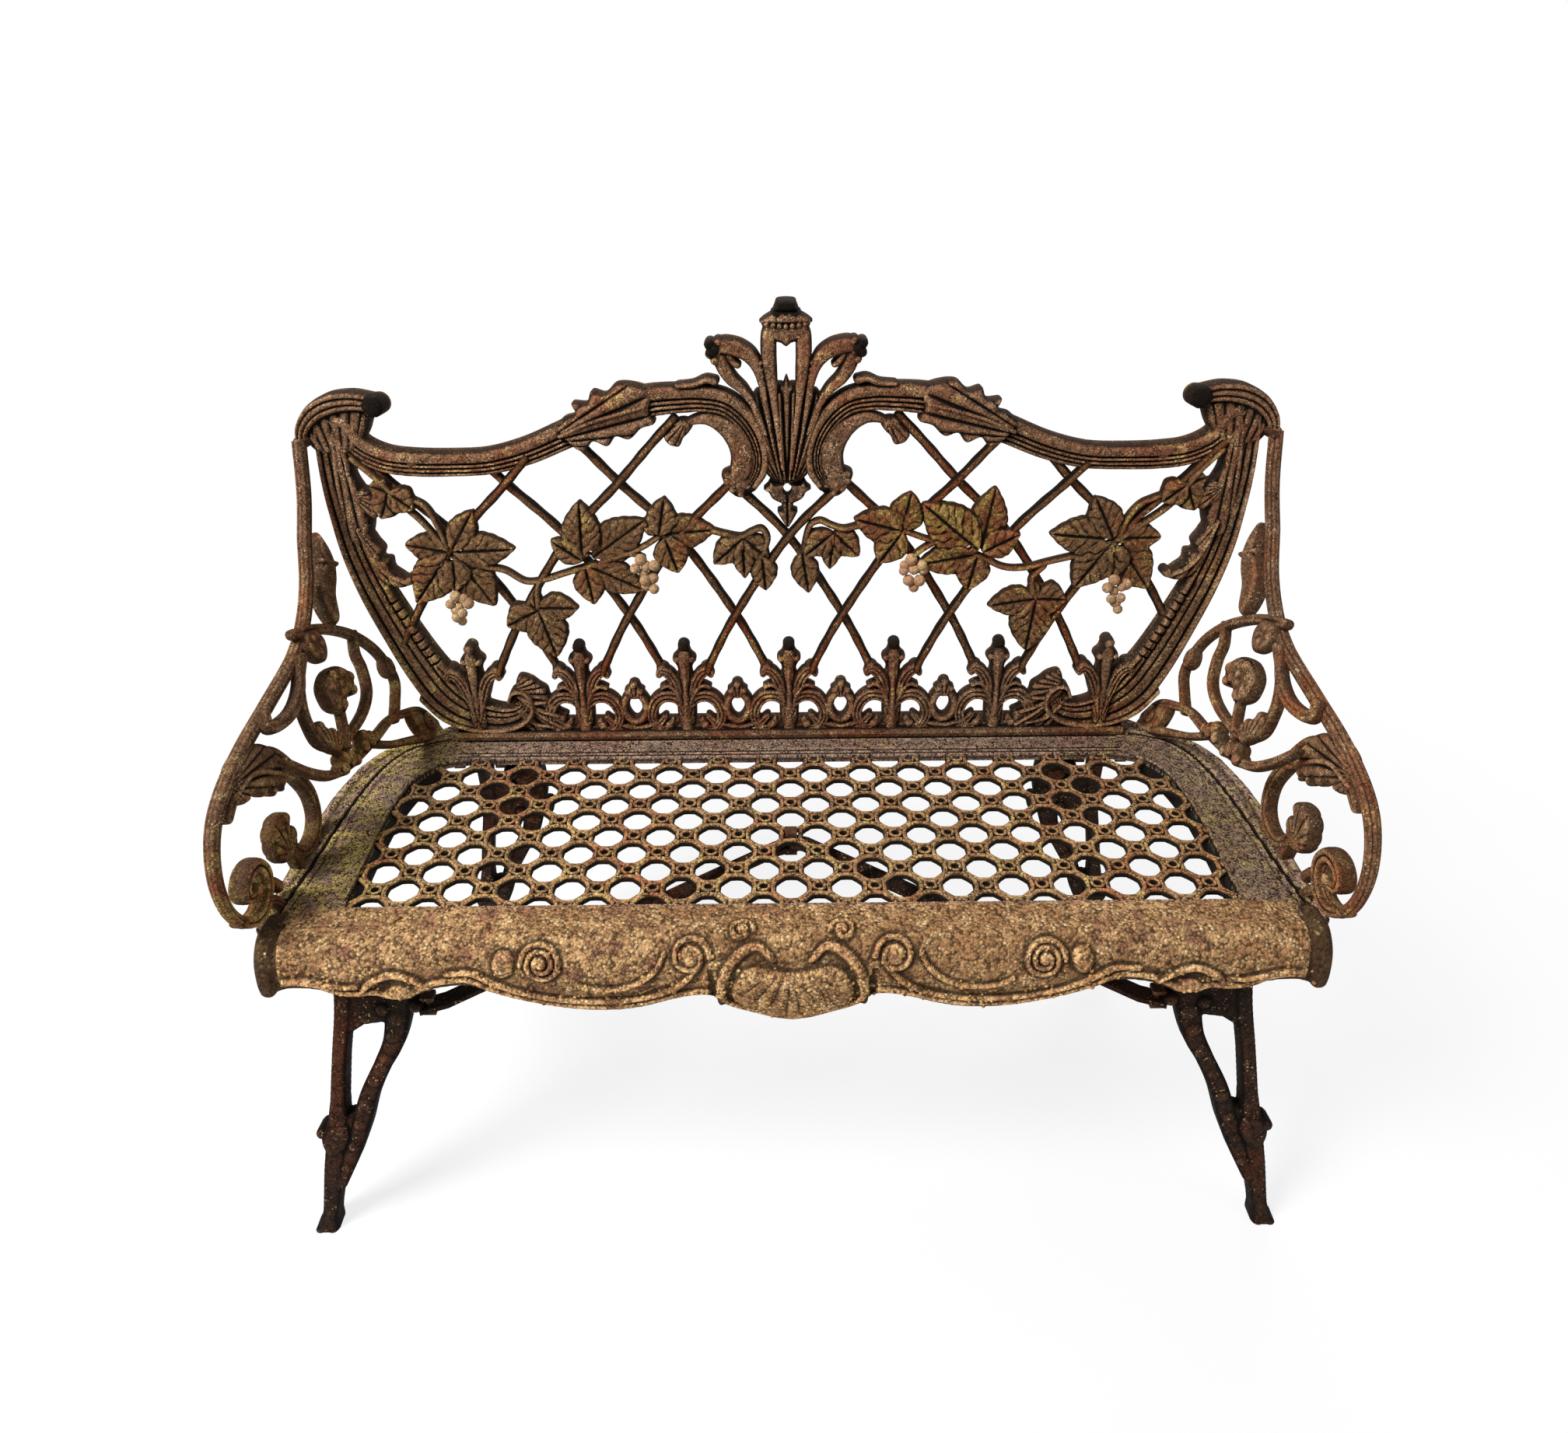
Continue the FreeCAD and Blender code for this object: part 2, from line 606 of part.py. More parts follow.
def leg(mark):
    """A right leg: two prongs that meet at a knuckle. Mark -1 splays forwards, 1 backwards."""
    height = seat_height - plate_thickness - boss_drop
    y = front_leg_y if mark < 0 else rear_leg_y
    scale = height / drawn_leg_height
    outer = [(480, 0), (487, -79), (504, -160), (515, -216), (524, -262), (538, -320), (551, -376),
             (561, -420)]
    inner = [(424, 0), (421, -60), (430, -115), (450, -163), (470, -204), (492, -244), (516, -286)]
    knuckle = [(514, -240), (536, -248), (547, -272), (538, -302), (520, -292), (508, -266)]
    toe = [(551, -360), (566, -384), (574, -416), (548, -416), (546, -392)]
    inset = 0.0 if mark < 0 else rear_leg_inset

    def on_leg(points):
        return [(a * stretch_x - inset, b * scale) for a, b in points]

    front = -leg_depth / 2
    prongs = [ribbon(on_leg(outer), [24, 20, 19, 20, 26, 22, 18, 20], front, leg_depth),
              ribbon(on_leg(inner), [34, 28, 24, 22, 20, 18, 16], front, leg_depth),
              petal(on_leg(knuckle), front - 3, leg_depth + 6), petal(on_leg(toe), front, leg_depth),
              plate(on_leg([(424, -72), (490, -72), (494, -92), (424, -92)]), front / 2, leg_depth / 2)]
    shape = placed(joined(prongs), vec(0, y, height), vec(1, 0, 0), mark * leg_splay)
    top = Part.makeBox(3000, 3000, height, vec(-1500, -1500, 0))
    shape = shape.common(top)
    high = max(leg_bolt_x) - inset
    inner_end = 408.0 * stretch_x - inset
    flange = Part.makeBox(high + boss_diameter / 2 - inner_end, boss_diameter, leg_flange,
                          vec(inner_end, y - boss_diameter / 2, height - leg_flange))
    shapes = [shape, flange]
    if mark < 0:
        shapes.append(brace_shelf())
    shape = joined(shapes)
    drills = []
    for x in [bolt_x - inset for bolt_x in leg_bolt_x]:
        drills.append(Part.makeCylinder(hole_diameter / 2, height, vec(x, y, height - leg_flange)))
        room = head_width + 2
        drills.append(Part.makeBox(room, 2 * leg_depth, 2 * head_height,
                                   vec(x - room / 2, y - leg_depth, height - leg_flange - 2 * head_height)))
    if mark < 0:
        place = vec(brace_end_x, brace_end_y, brace_end_z)
        drills.append(Part.makeCylinder(hole_diameter / 2, leg_flange, place))
    return largest(shape.cut(drills))


brace_end_x = 396.0 * stretch_x
brace_end_y = front_leg_y - (brace_drop - 20.0) * math.tan(math.radians(leg_splay))
brace_end_z = seat_height - brace_drop
shelf_size = 26.0


def brace_shelf():
    """The lug on the inner prong that the brace is bolted under."""
    length = 424.0 * stretch_x - brace_end_x + shelf_size / 2
    return Part.makeBox(length, shelf_size, leg_flange,
                        vec(brace_end_x - shelf_size / 2, brace_end_y - shelf_size / 2, brace_end_z))


def brace(mark, level):
    """A flat bar from the middle of the seat down to a front leg, bent flat at both ends."""
    span = math.hypot(brace_end_x, brace_end_y - hub_y)
    top = seat_height - plate_thickness - level * brace_thickness
    end = brace_end_z
    flat, tip = 0.9 * brace_width, 0.6 * brace_width
    upper = [(-tip, top), (flat, top), (span - flat, end), (span + tip, end)]
    side = upper + [(a, b - brace_thickness) for a, b in reversed(upper)]
    bar = plate(side, -brace_width / 2, brace_width)
    turn = math.degrees(math.atan2(brace_end_y - hub_y, mark * brace_end_x))
    bar = placed(bar, vec(0, hub_y, 0), vec(0, 0, 1), turn)
    drills = [Part.makeCylinder(hole_diameter / 2, seat_height, vec(0, hub_y, 0)),
              Part.makeCylinder(hole_diameter / 2, seat_height, vec(mark * brace_end_x, brace_end_y, 0))]
    return bar.cut(drills)


# The whole bench

os.makedirs("parts", exist_ok=True)

seat = seat_plate()
apron = front_apron()
export("seat_plate", seat)
export("front_apron", apron)

top_y, top_up = arm_top()
lean = math.radians(back_lean)
bolt_way = vec(0, math.cos(lean), -math.sin(lean))
top_hole = vec(arm_x, top_y, seat_height + top_up)
corner_drill = Part.makeCylinder(hole_diameter / 2, 2 * frame_depth + arm_bolt_bite,
                                 top_hole - bolt_way * arm_bolt_bite, bolt_way)
crest = leaned(back_crest())
rail_base = foot_rail()
above_seat = Part.makeBox(4000, 4000, back_rise, vec(-2000, -2000, seat_height))
one_fleur = leaned(joined(fleur())).common(above_seat)
one_crown = leaned(joined(crown())).common(above_seat)
one_leaf = leaned(foot_leaf()).common(above_seat)
gallery_shapes = [placed(one_fleur, vec(place * fleur_pitch, 0, 0)) for place in (-2, -1, 0, 1, 2)]
gallery_shapes += [placed(one_crown, vec(place * fleur_pitch, 0, 0)) for place in (-1.5, -0.5, 0.5, 1.5)]
gallery_shapes += [one_leaf, opposite(one_leaf)]
gallery = joined([rail_base] + gallery_shapes)
stile = leaned(right_stile())
gallery = gallery.cut([stile, opposite(stile)])
drills = []
for x in back_bolt_x:
    for sign in (1, -1):
        place = vec(sign * x, back_bolt_y, seat_height)
        drills.append(Part.makeCylinder(hole_diameter / 2, foot_rail_height, place))
        room = head_width + 2
        corner = vec(sign * x - room / 2, place.y - room / 2, seat_height + foot_rail_height)
        drills.append(Part.makeBox(room, room + skirt_drop, 4 * foot_rail_height, corner))
gallery = largest(gallery.cut(drills))
stile = largest(stile.common(above_seat).cut(drills + [corner_drill]))
top_rail = largest(leaned(right_top_rail()).cut([stile, crest]))
left_top_rail = largest(opposite(top_rail).cut(crest))
frame = [stile, opposite(stile), top_rail, left_top_rail, crest]
export("back_right_stile", stile)
export("back_left_stile", opposite(stile))
export("back_right_top_rail", top_rail)
export("back_left_top_rail", left_top_rail)
export("back_crest", crest)
export("fleur_gallery", gallery)

front_bars = trellis(frame, 1, -bar_depth)
rear_bars = trellis(frame, -1, 0.0)
export("trellis_front_bars", *front_bars)
export("trellis_rear_bars", *rear_bars)
vine = largest(leaned(joined(right_vine())).cut([stile, top_rail]))
export("right_vine", vine)
export("left_vine", opposite(vine))

seat_body = Part.Face(seat_outline(0)).extrude(vec(0, 0, skirt_drop))
seat_body.translate(vec(0, 0, seat_height - skirt_drop))
arm_drills = []
for y in arm_bolt_y:
    start = vec(lug_inner_x, y, arm_bolt_z)
    arm_drills.append(Part.makeCylinder(hole_diameter / 2, seat_half_width, start, vec(1, 0, 0)))
rail = right_arm_rail([seat_body, stile, corner_drill] + arm_drills)
front_scroll = right_front_scroll([seat_body, rail] + arm_drills)
rear_scroll = right_rear_scroll([seat_body, stile, rail, front_scroll])
arm_nodes = [("arm_rail", rail), ("arm_front_scroll", front_scroll), ("arm_rear_scroll", rear_scroll)]
for name, shape in arm_nodes:
    export("right_" + name, shape)
    export("left_" + name, opposite(shape))

front_leg, rear_leg = leg(-1), leg(1)
export("front_right_leg", front_leg)
export("front_left_leg", opposite(front_leg))
export("rear_right_leg", rear_leg)
export("rear_left_leg", opposite(rear_leg))
export("right_brace", brace(1, 0))
export("left_brace", brace(-1, 1))

hub_under = seat_height - plate_thickness - 2 * brace_thickness
hub_bolt = bolt(plate_thickness + 2 * brace_thickness + nut_height, head_height, head_width)
export("brace_bolt", placed(hub_bolt, vec(0, hub_y, seat_height)))
export("brace_nut", placed(nut(), vec(0, hub_y, hub_under)))
brace_ends = [vec(sign * brace_end_x, brace_end_y, brace_end_z) for sign in (1, -1)]
end_bolt = bolt(leg_flange + brace_thickness + nut_height, head_height, head_width)
export("brace_end_bolts", *[placed(end_bolt, place + vec(0, 0, leg_flange)) for place in brace_ends])
export("brace_end_nuts", *[placed(nut(), place - vec(0, 0, brace_thickness)) for place in brace_ends])

leg_top = seat_height - plate_thickness - boss_drop
leg_bolt = placed(bolt(leg_flange + boss_drop, head_height, head_width), vec(0, 0, 0), vec(1, 0, 0), 180)
export("leg_bolts", *[placed(leg_bolt, vec(x, y, leg_top - leg_flange)) for x, y in leg_bolt_places])

foot_bolt = bolt(foot_rail_height + plate_thickness + nut_height, head_height, head_width)
foot_places = [vec(sign * x, back_bolt_y, seat_height) for x in back_bolt_x for sign in (1, -1)]
rail_top = vec(0, 0, foot_rail_height)
export("back_seat_bolts", *[placed(foot_bolt, place + rail_top) for place in foot_places])
export("back_seat_nuts", *[placed(nut(), place - vec(0, 0, plate_thickness)) for place in foot_places])

lug_bolt = bolt(lug_end_x - lug_inner_x + nut_height, head_height, head_width)
side_bolts = [placed(lug_bolt, vec(lug_end_x, y, arm_bolt_z), vec(0, 1, 0), 90) for y in arm_bolt_y]
side_nuts = [placed(nut(), vec(lug_inner_x, y, arm_bolt_z), vec(0, 1, 0), 90) for y in arm_bolt_y]
export("arm_seat_bolts", *(side_bolts + [opposite(shape) for shape in side_bolts]))
export("arm_seat_nuts", *(side_nuts + [opposite(shape) for shape in side_nuts]))

corner_grip = frame_depth + boss_proud
corner_bolt = bolt(corner_grip + arm_bolt_bite, head_height, head_width)
corner_bolt = placed(corner_bolt, top_hole + bolt_way * corner_grip, vec(1, 0, 0), -90 - back_lean)
export("arm_back_bolts", corner_bolt, opposite(corner_bolt))
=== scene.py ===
import json
import math
import bpy
import numpy as np
from mathutils import Matrix, Vector


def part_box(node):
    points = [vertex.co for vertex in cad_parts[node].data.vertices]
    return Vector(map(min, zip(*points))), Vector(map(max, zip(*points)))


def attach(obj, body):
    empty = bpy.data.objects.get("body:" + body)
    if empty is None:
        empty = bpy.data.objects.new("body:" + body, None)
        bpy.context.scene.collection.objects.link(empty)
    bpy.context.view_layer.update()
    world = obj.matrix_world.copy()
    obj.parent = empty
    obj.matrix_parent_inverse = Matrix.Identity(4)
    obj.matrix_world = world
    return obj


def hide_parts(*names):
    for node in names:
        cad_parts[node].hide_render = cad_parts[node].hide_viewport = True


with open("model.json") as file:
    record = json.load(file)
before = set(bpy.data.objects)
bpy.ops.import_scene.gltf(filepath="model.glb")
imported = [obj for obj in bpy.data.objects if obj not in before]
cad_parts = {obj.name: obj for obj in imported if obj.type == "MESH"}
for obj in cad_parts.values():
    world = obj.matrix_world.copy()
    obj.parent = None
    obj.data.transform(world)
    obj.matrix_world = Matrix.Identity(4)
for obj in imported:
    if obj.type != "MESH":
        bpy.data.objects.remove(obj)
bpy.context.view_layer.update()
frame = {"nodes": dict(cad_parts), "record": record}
mm = 0.001
print("frame loaded:", len(frame["nodes"]), "nodes")

# Where the castings sit: seat sizes off the frame, the rest in mm and radians
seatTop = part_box("seat_plate")[1].z / mm
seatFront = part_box("seat_plate")[0].y / mm
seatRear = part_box("seat_plate")[1].y / mm
bench = dict(backFoot=seatRear - 28.0, backLean=math.radians(5.0), armX=546.0, fleurPitch=132.0)


# Shader nodes and the rusted finishes

def feed(tree, socket, value):
    if isinstance(value, bpy.types.NodeSocket):
        tree.links.new(value, socket)
    else:
        socket.default_value = value


def addNode(tree, kind, feeds=(), **values):
    node = tree.nodes.new(kind)
    for name, value in values.items():
        setattr(node, name, value)
    for key, value in dict(feeds).items():
        feed(tree, node.inputs[key], value)
    return node


def noiseAt(tree, where, scale, detail, roughness=0.6):
    feeds = {"Vector": where, "Scale": scale, "Detail": detail, "Roughness": roughness}
    return addNode(tree, "ShaderNodeTexNoise", feeds).outputs["Fac"]


def mapped(tree, value, given, result, curve="LINEAR"):
    feeds = {"Value": value, "From Min": given[0], "From Max": given[1], "To Min": result[0],
             "To Max": result[1]}
    return addNode(tree, "ShaderNodeMapRange", feeds, interpolation_type=curve).outputs["Result"]


def stepBetween(tree, value, low, high):
    return mapped(tree, value, (low, high), (0.0, 1.0), "SMOOTHSTEP")


def calc(tree, operation, first, second, clamp=False):
    feeds = {0: first, 1: second}
    return addNode(tree, "ShaderNodeMath", feeds, operation=operation, use_clamp=clamp).outputs["Value"]


def times(tree, first, second, clamp=False):
    return calc(tree, "MULTIPLY", first, second, clamp)


def plus(tree, first, second):
    return calc(tree, "ADD", first, second)


def laidOver(tree, under, over, amount):
    feeds = {"Factor": amount, 6: under, 7: over}        # 6 and 7 are the two colours
    return addNode(tree, "ShaderNodeMix", feeds, data_type="RGBA").outputs[2]


def sRgb(red, green, blue):
    def linear(value):
        value /= 255.0
        return value / 12.92 if value <= 0.04045 else ((value + 0.055) / 1.055) ** 2.4
    return (linear(red), linear(green), linear(blue), 1.0)


# raisedHighlight and hollowShade in a finish set its painted highlight on raised relief and painted shade in
# hollows
finishes = dict(
    backIron=dict(dark=sRgb(9, 6, 4), brown=sRgb(102, 75, 54), red=sRgb(102, 63, 44),
                  bare=sRgb(119, 92, 80), crust=sRgb(150, 118, 70), pale=sRgb(224, 192, 146),
                  crustCover=0.46, paleCover=0.30, bump=0.8, grain=520.0, grit=0.38, moss=0.7),
    rodIron=dict(dark=sRgb(9, 6, 4), brown=sRgb(90, 60, 36), red=sRgb(104, 52, 26),
                 bare=sRgb(104, 76, 54), crust=sRgb(126, 92, 46), pale=sRgb(204, 166, 118),
                 crustCover=0.42, paleCover=0.18, bump=0.6, grain=520.0, grit=0.34, moss=0.3),
    vineIron=dict(dark=sRgb(12, 8, 4), brown=sRgb(93, 68, 45), red=sRgb(102, 60, 37),
                  bare=sRgb(117, 90, 71), crust=sRgb(124, 102, 50), pale=sRgb(214, 180, 132),
                  crustCover=0.50, paleCover=0.16, bump=0.6, grain=560.0, grit=0.30, moss=0.5),
    grapeIron=dict(dark=sRgb(58, 36, 22), brown=sRgb(168, 134, 100), red=sRgb(170, 126, 96),
                   bare=sRgb(180, 148, 118), crust=sRgb(198, 170, 122), pale=sRgb(230, 208, 176),
                   crustCover=0.5, paleCover=0.3, bump=0.5, grain=600.0, grit=0.22, moss=0.0),
    armIron=dict(dark=sRgb(8, 5, 3), brown=sRgb(102, 74, 54), red=sRgb(112, 64, 42),
                 bare=sRgb(124, 96, 84), crust=sRgb(142, 110, 64), pale=sRgb(212, 180, 138),
                 crustCover=0.42, paleCover=0.20, bump=0.7, grain=500.0, grit=0.36, moss=0.6,
                 raisedHighlight=2.05),
    seatIron=dict(dark=sRgb(12, 8, 5), brown=sRgb(133, 109, 93), red=sRgb(129, 100, 85),
                  bare=sRgb(144, 121, 111), crust=sRgb(146, 122, 80), pale=sRgb(216, 186, 142),
                  crustCover=0.44, paleCover=0.30, bump=0.9, grain=460.0, grit=0.52, moss=1.2),
    latticeIron=dict(dark=sRgb(12, 8, 4), brown=sRgb(155, 120, 82), red=sRgb(148, 96, 66),
                     bare=sRgb(150, 120, 94), crust=sRgb(186, 154, 96), pale=sRgb(230, 200, 150),
                     crustCover=0.52, paleCover=0.34, bump=0.9, grain=420.0, grit=0.44, moss=0.5,
                     rear=sRgb(120, 84, 62)),
    apronIron=dict(dark=sRgb(16, 10, 6), brown=sRgb(157, 116, 79), red=sRgb(137, 95, 74),
                   bare=sRgb(128, 97, 88), crust=sRgb(192, 152, 104), pale=sRgb(236, 206, 160),
                   crustCover=0.64, paleCover=0.44, bump=1.0, grain=300.0, grit=0.40, moss=0.0,
                   raisedHighlight=1.34, hollowShade=0.8),
    lichen=dict(dark=sRgb(78, 52, 30), brown=sRgb(170, 130, 82), red=sRgb(150, 104, 66),
                bare=sRgb(162, 126, 96), crust=sRgb(198, 164, 108), pale=sRgb(224, 198, 148),
                crustCover=0.55, paleCover=0.3, bump=0.6, grain=300.0, grit=0.40, moss=0.0),
    legIron=dict(dark=sRgb(5, 3, 2), brown=sRgb(40, 28, 20), red=sRgb(68, 36, 20),
                 bare=sRgb(58, 44, 36), crust=sRgb(92, 70, 44), pale=sRgb(184, 152, 108),
                 crustCover=0.34, paleCover=0.18, bump=0.8, grain=420.0, grit=0.40, moss=0.0),
    boltIron=dict(dark=sRgb(12, 8, 6), brown=sRgb(74, 52, 36), red=sRgb(88, 52, 34),
                  bare=sRgb(84, 66, 56), crust=sRgb(120, 92, 54), pale=sRgb(180, 150, 106),
                  crustCover=0.40, paleCover=0.14, bump=0.5, grain=500.0, grit=0.30, moss=0.0))
# sunkShade and raisedHighlight: painted shade in hollows and painted highlight on raised relief
rust = dict(broad=9.0, middle=46.0, fine=260.0, patch=120.0, wornAndShaded=(0.35, 0.80), sunkShade=0.60, raisedHighlight=1.78,
            relief=1.8, specular=0.08, rearRust=(-0.05, 0.11))
mossy = dict(tone=sRgb(154, 137, 68), left=(-0.30, -0.52), right=(0.34, 0.54), rightShare=0.45,
             low=(0.76, 0.50))


def rustedIron(name, look, wornAndShaded):
    material = bpy.data.materials.new(name)
    material.use_nodes = True
    tree = material.node_tree
    shader = tree.nodes["Principled BSDF"]
    where = addNode(tree, "ShaderNodeTexCoord").outputs["Object"]
    broad = noiseAt(tree, where, rust["broad"], 3.0)
    middle = noiseAt(tree, where, rust["middle"], 5.0)
    fine = noiseAt(tree, where, rust["fine"], 3.0, 0.7)
    cells = addNode(tree, "ShaderNodeTexVoronoi", {"Vector": where, "Scale": look["grain"]}, feature="F1")
    tone = addNode(tree, "ShaderNodeSeparateColor", {"Color": cells.outputs["Color"]})
    colour = laidOver(tree, look["brown"], look["red"], stepBetween(tree, broad, 0.42, 0.66))
    rubbed = stepBetween(tree, middle, 0.50, 0.70)
    colour = laidOver(tree, colour, look["bare"], times(tree, rubbed, 0.7))
    crustField = plus(tree, times(tree, middle, 0.55), times(tree, broad, 0.25))
    crustField = plus(tree, crustField, times(tree, fine, 0.30))
    edge = 0.80 - 0.48 * look["crustCover"]
    crust = stepBetween(tree, crustField, edge, edge + 0.09)
    colour = laidOver(tree, colour, look["crust"], times(tree, crust, 0.8))
    if look["moss"] > 0:                                 # yellow lichen, low down and towards the ends
        apart = addNode(tree, "ShaderNodeSeparateXYZ", {"Vector": where})
        leftward = stepBetween(tree, apart.outputs["X"], *mossy["left"])
        rightward = stepBetween(tree, apart.outputs["X"], *mossy["right"])
        rightward = times(tree, rightward, mossy["rightShare"])
        outward = calc(tree, "MAXIMUM", leftward, rightward)
        if "rear" in look:                               # redder rust under the back
            behind = stepBetween(tree, apart.outputs["Y"], *rust["rearRust"])
            colour = laidOver(tree, colour, look["rear"], times(tree, behind, 0.5))
        low = stepBetween(tree, apart.outputs["Z"], *mossy["low"])
        moss = times(tree, times(tree, outward, low), stepBetween(tree, crustField, 0.50, 0.62))
        colour = laidOver(tree, colour, mossy["tone"], times(tree, moss, 0.6 * look["moss"]))
    level = mapped(tree, tone.outputs["Red"], (0.0, 1.0), (1.0 - look["grit"], 1.0 + 1.2 * look["grit"]))
    if wornAndShaded:                                             # castings carry how deep each point lies: painted shade in its hollows, a painted highlight where it stands out
        wear = addNode(tree, "ShaderNodeAttribute", attribute_name="wear").outputs["Fac"]
        # painted light: darker in hollows, brighter on raised relief
        paintedLight = mapped(tree, wear, rust["wornAndShaded"], (rust["sunkShade"], look.get("raisedHighlight", rust["raisedHighlight"])))
        level = times(tree, level, paintedLight)
    shades = addNode(tree, "ShaderNodeHueSaturation", {"Value": level, "Color": colour})
    more = 0.4 * look["paleCover"]
    speck = stepBetween(tree, tone.outputs["Green"], 0.93 - more, 0.98 - more)
    body = stepBetween(tree, cells.outputs["Distance"], 0.62, 0.34)
    pale = times(tree, times(tree, speck, body), stepBetween(tree, middle, 0.44, 0.62))
    colour = laidOver(tree, shades.outputs["Color"], look["pale"], times(tree, pale, 0.75))
    # dark pits from noise and gaps between grains; painted shade in hollows is added below
    pitsAndShade = times(tree, stepBetween(tree, fine, 0.44, 0.30), 0.75)
    patch = stepBetween(tree, noiseAt(tree, where, rust["patch"], 2.0), 0.40, 0.56)
    gaps = stepBetween(tree, cells.outputs["Distance"], 0.42, 0.70)
    gaps = times(tree, gaps, 2.0 * look["grit"], True)
    pitsAndShade = calc(tree, "MAXIMUM", pitsAndShade, times(tree, gaps, patch))
    if wornAndShaded:
        # painted shade in hollows and along outline walls
        hollowShade = times(tree, stepBetween(tree, wear, 0.50, 0.27), look.get("hollowShade", 1.0))
        pitsAndShade = calc(tree, "MAXIMUM", pitsAndShade, hollowShade)
    colour = laidOver(tree, colour, look["dark"], times(tree, pitsAndShade, 0.96))
    height = plus(tree, times(tree, fine, 0.5), times(tree, middle, 0.7))
    height = plus(tree, height, times(tree, crust, 0.4))
    height = plus(tree, height, times(tree, body, look["grit"]))
    feeds = {"Strength": look["bump"], "Distance": rust["relief"] * mm, "Height": height}
    bump = addNode(tree, "ShaderNodeBump", feeds)
    feed(tree, shader.inputs["Base Color"], colour)
    feed(tree, shader.inputs["Roughness"], stepBetween(tree, middle, -0.6, 0.9))
    feed(tree, shader.inputs["Normal"], bump.outputs["Normal"])
    feed(tree, shader.inputs["Metallic"], 0.0)
    feed(tree, shader.inputs["Specular IOR Level"], rust["specular"])
    return material


finish = {name: rustedIron(name, look, True) for name, look in finishes.items()}
plainFinish = {name: rustedIron(name + "Plain", look, False) for name, look in finishes.items()}
slotOf = dict(backIron="back_iron", vineIron="vine_iron", armIron="arm_iron", seatIron="seat_iron",
              apronIron="apron_iron", legIron="leg_iron", boltIron="fastener_iron")
print("finishes made:", len(finish))


# Pieces

sharpAngle = math.radians(50)


def newMesh(name, points, edges, faces):
    mesh = bpy.data.meshes.new(name)
    mesh.from_pydata(np.asarray(points).tolist(), edges, faces)
    return mesh


def markPoints(mesh, name, values):
    mesh.attributes.new(name, "FLOAT", "POINT").data.foreach_set("value", np.asarray(values, np.float32))


def newObject(name, data):
    made = bpy.data.objects.new(name, data)
    bpy.context.scene.collection.objects.link(made)
    return made


def addPiece(name, points, faces, look, replaced, wear):
    mesh = newMesh(name, points, [], faces)
    markPoints(mesh, "wear", wear)
    mesh.update()
    mesh.shade_smooth()
    mesh.set_sharp_from_angle(angle=sharpAngle)
    mesh.materials.append(finish[look])
    keep(newObject(name, mesh), replaced)


def keep(piece, replaced):
    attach(piece, "root")
    if replaced:
        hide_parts(*replaced)


def smoothLine(points, spacing, closed=False):
    p = np.array(points, float)
    if closed:
        p = np.vstack([p, p[:1]])
    gap = np.sqrt(np.linalg.norm(np.diff(p, axis=0), axis=1))
    if closed:
        around = np.vstack([p[-2:-1], p, p[1:2]])
        time = np.concatenate([[-gap[-1], 0.0], np.cumsum(gap), [gap.sum() + gap[0]]])
    else:
        around = np.vstack([2 * p[:1] - p[1:2], p, 2 * p[-1:] - p[-2:-1]])
        time = np.concatenate([[-gap[0], 0.0], np.cumsum(gap), [gap.sum() + gap[-1]]])
    slope = (around[2:] - around[:-2]) / (time[2:] - time[:-2])[:, None]
    parts, places = [], []
    for i in range(len(p) - 1):
        count = max(2, int(np.linalg.norm(p[i + 1] - p[i]) / spacing) + 1)
        u = np.linspace(0, 1, count, endpoint=False)[:, None]
        near, far = gap[i] * slope[i], gap[i] * slope[i + 1]
        parts.append((2 * u**3 - 3 * u**2 + 1) * p[i] + (u**3 - 2 * u**2 + u) * near
                     + (3 * u**2 - 2 * u**3) * p[i + 1] + (u**3 - u**2) * far)
        places.append(i + u[:, 0])
    if not closed:
        parts.append(p[-1:])
        places.append(np.array([len(p) - 1.0]))
    return np.vstack(parts), np.concatenate(places)


# Relief panels: ornament is drawn flat in mm, as a foundry pattern is, and then cast into a closed shell

nowhere = -99.0                                          # how far inside a spot lies where nothing is drawn


def newPanel(low, high, step):
    across = np.arange(low[0], high[0] + step, step)
    up = np.arange(low[1], high[1] + step, step)
    size = (len(across), len(up))
    return dict(across=across, up=up, step=step, inside=np.full(size, nowhere), rise=np.zeros(size), nearBlack=[])


def window(panel, low, high, reach):
    a, b = panel["across"], panel["up"]
    i0, i1 = np.searchsorted(a, low[0] - reach), np.searchsorted(a, high[0] + reach)
    j0, j1 = np.searchsorted(b, low[1] - reach), np.searchsorted(b, high[1] + reach)
    return slice(i0, i1), slice(j0, j1)


def lay(panel, spot, inside, height):
    near = inside > -1.5 * panel["step"]
    panel["inside"][spot] = np.maximum(panel["inside"][spot], inside)
    panel["rise"][spot] = np.where(near, np.maximum(panel["rise"][spot], height), panel["rise"][spot])


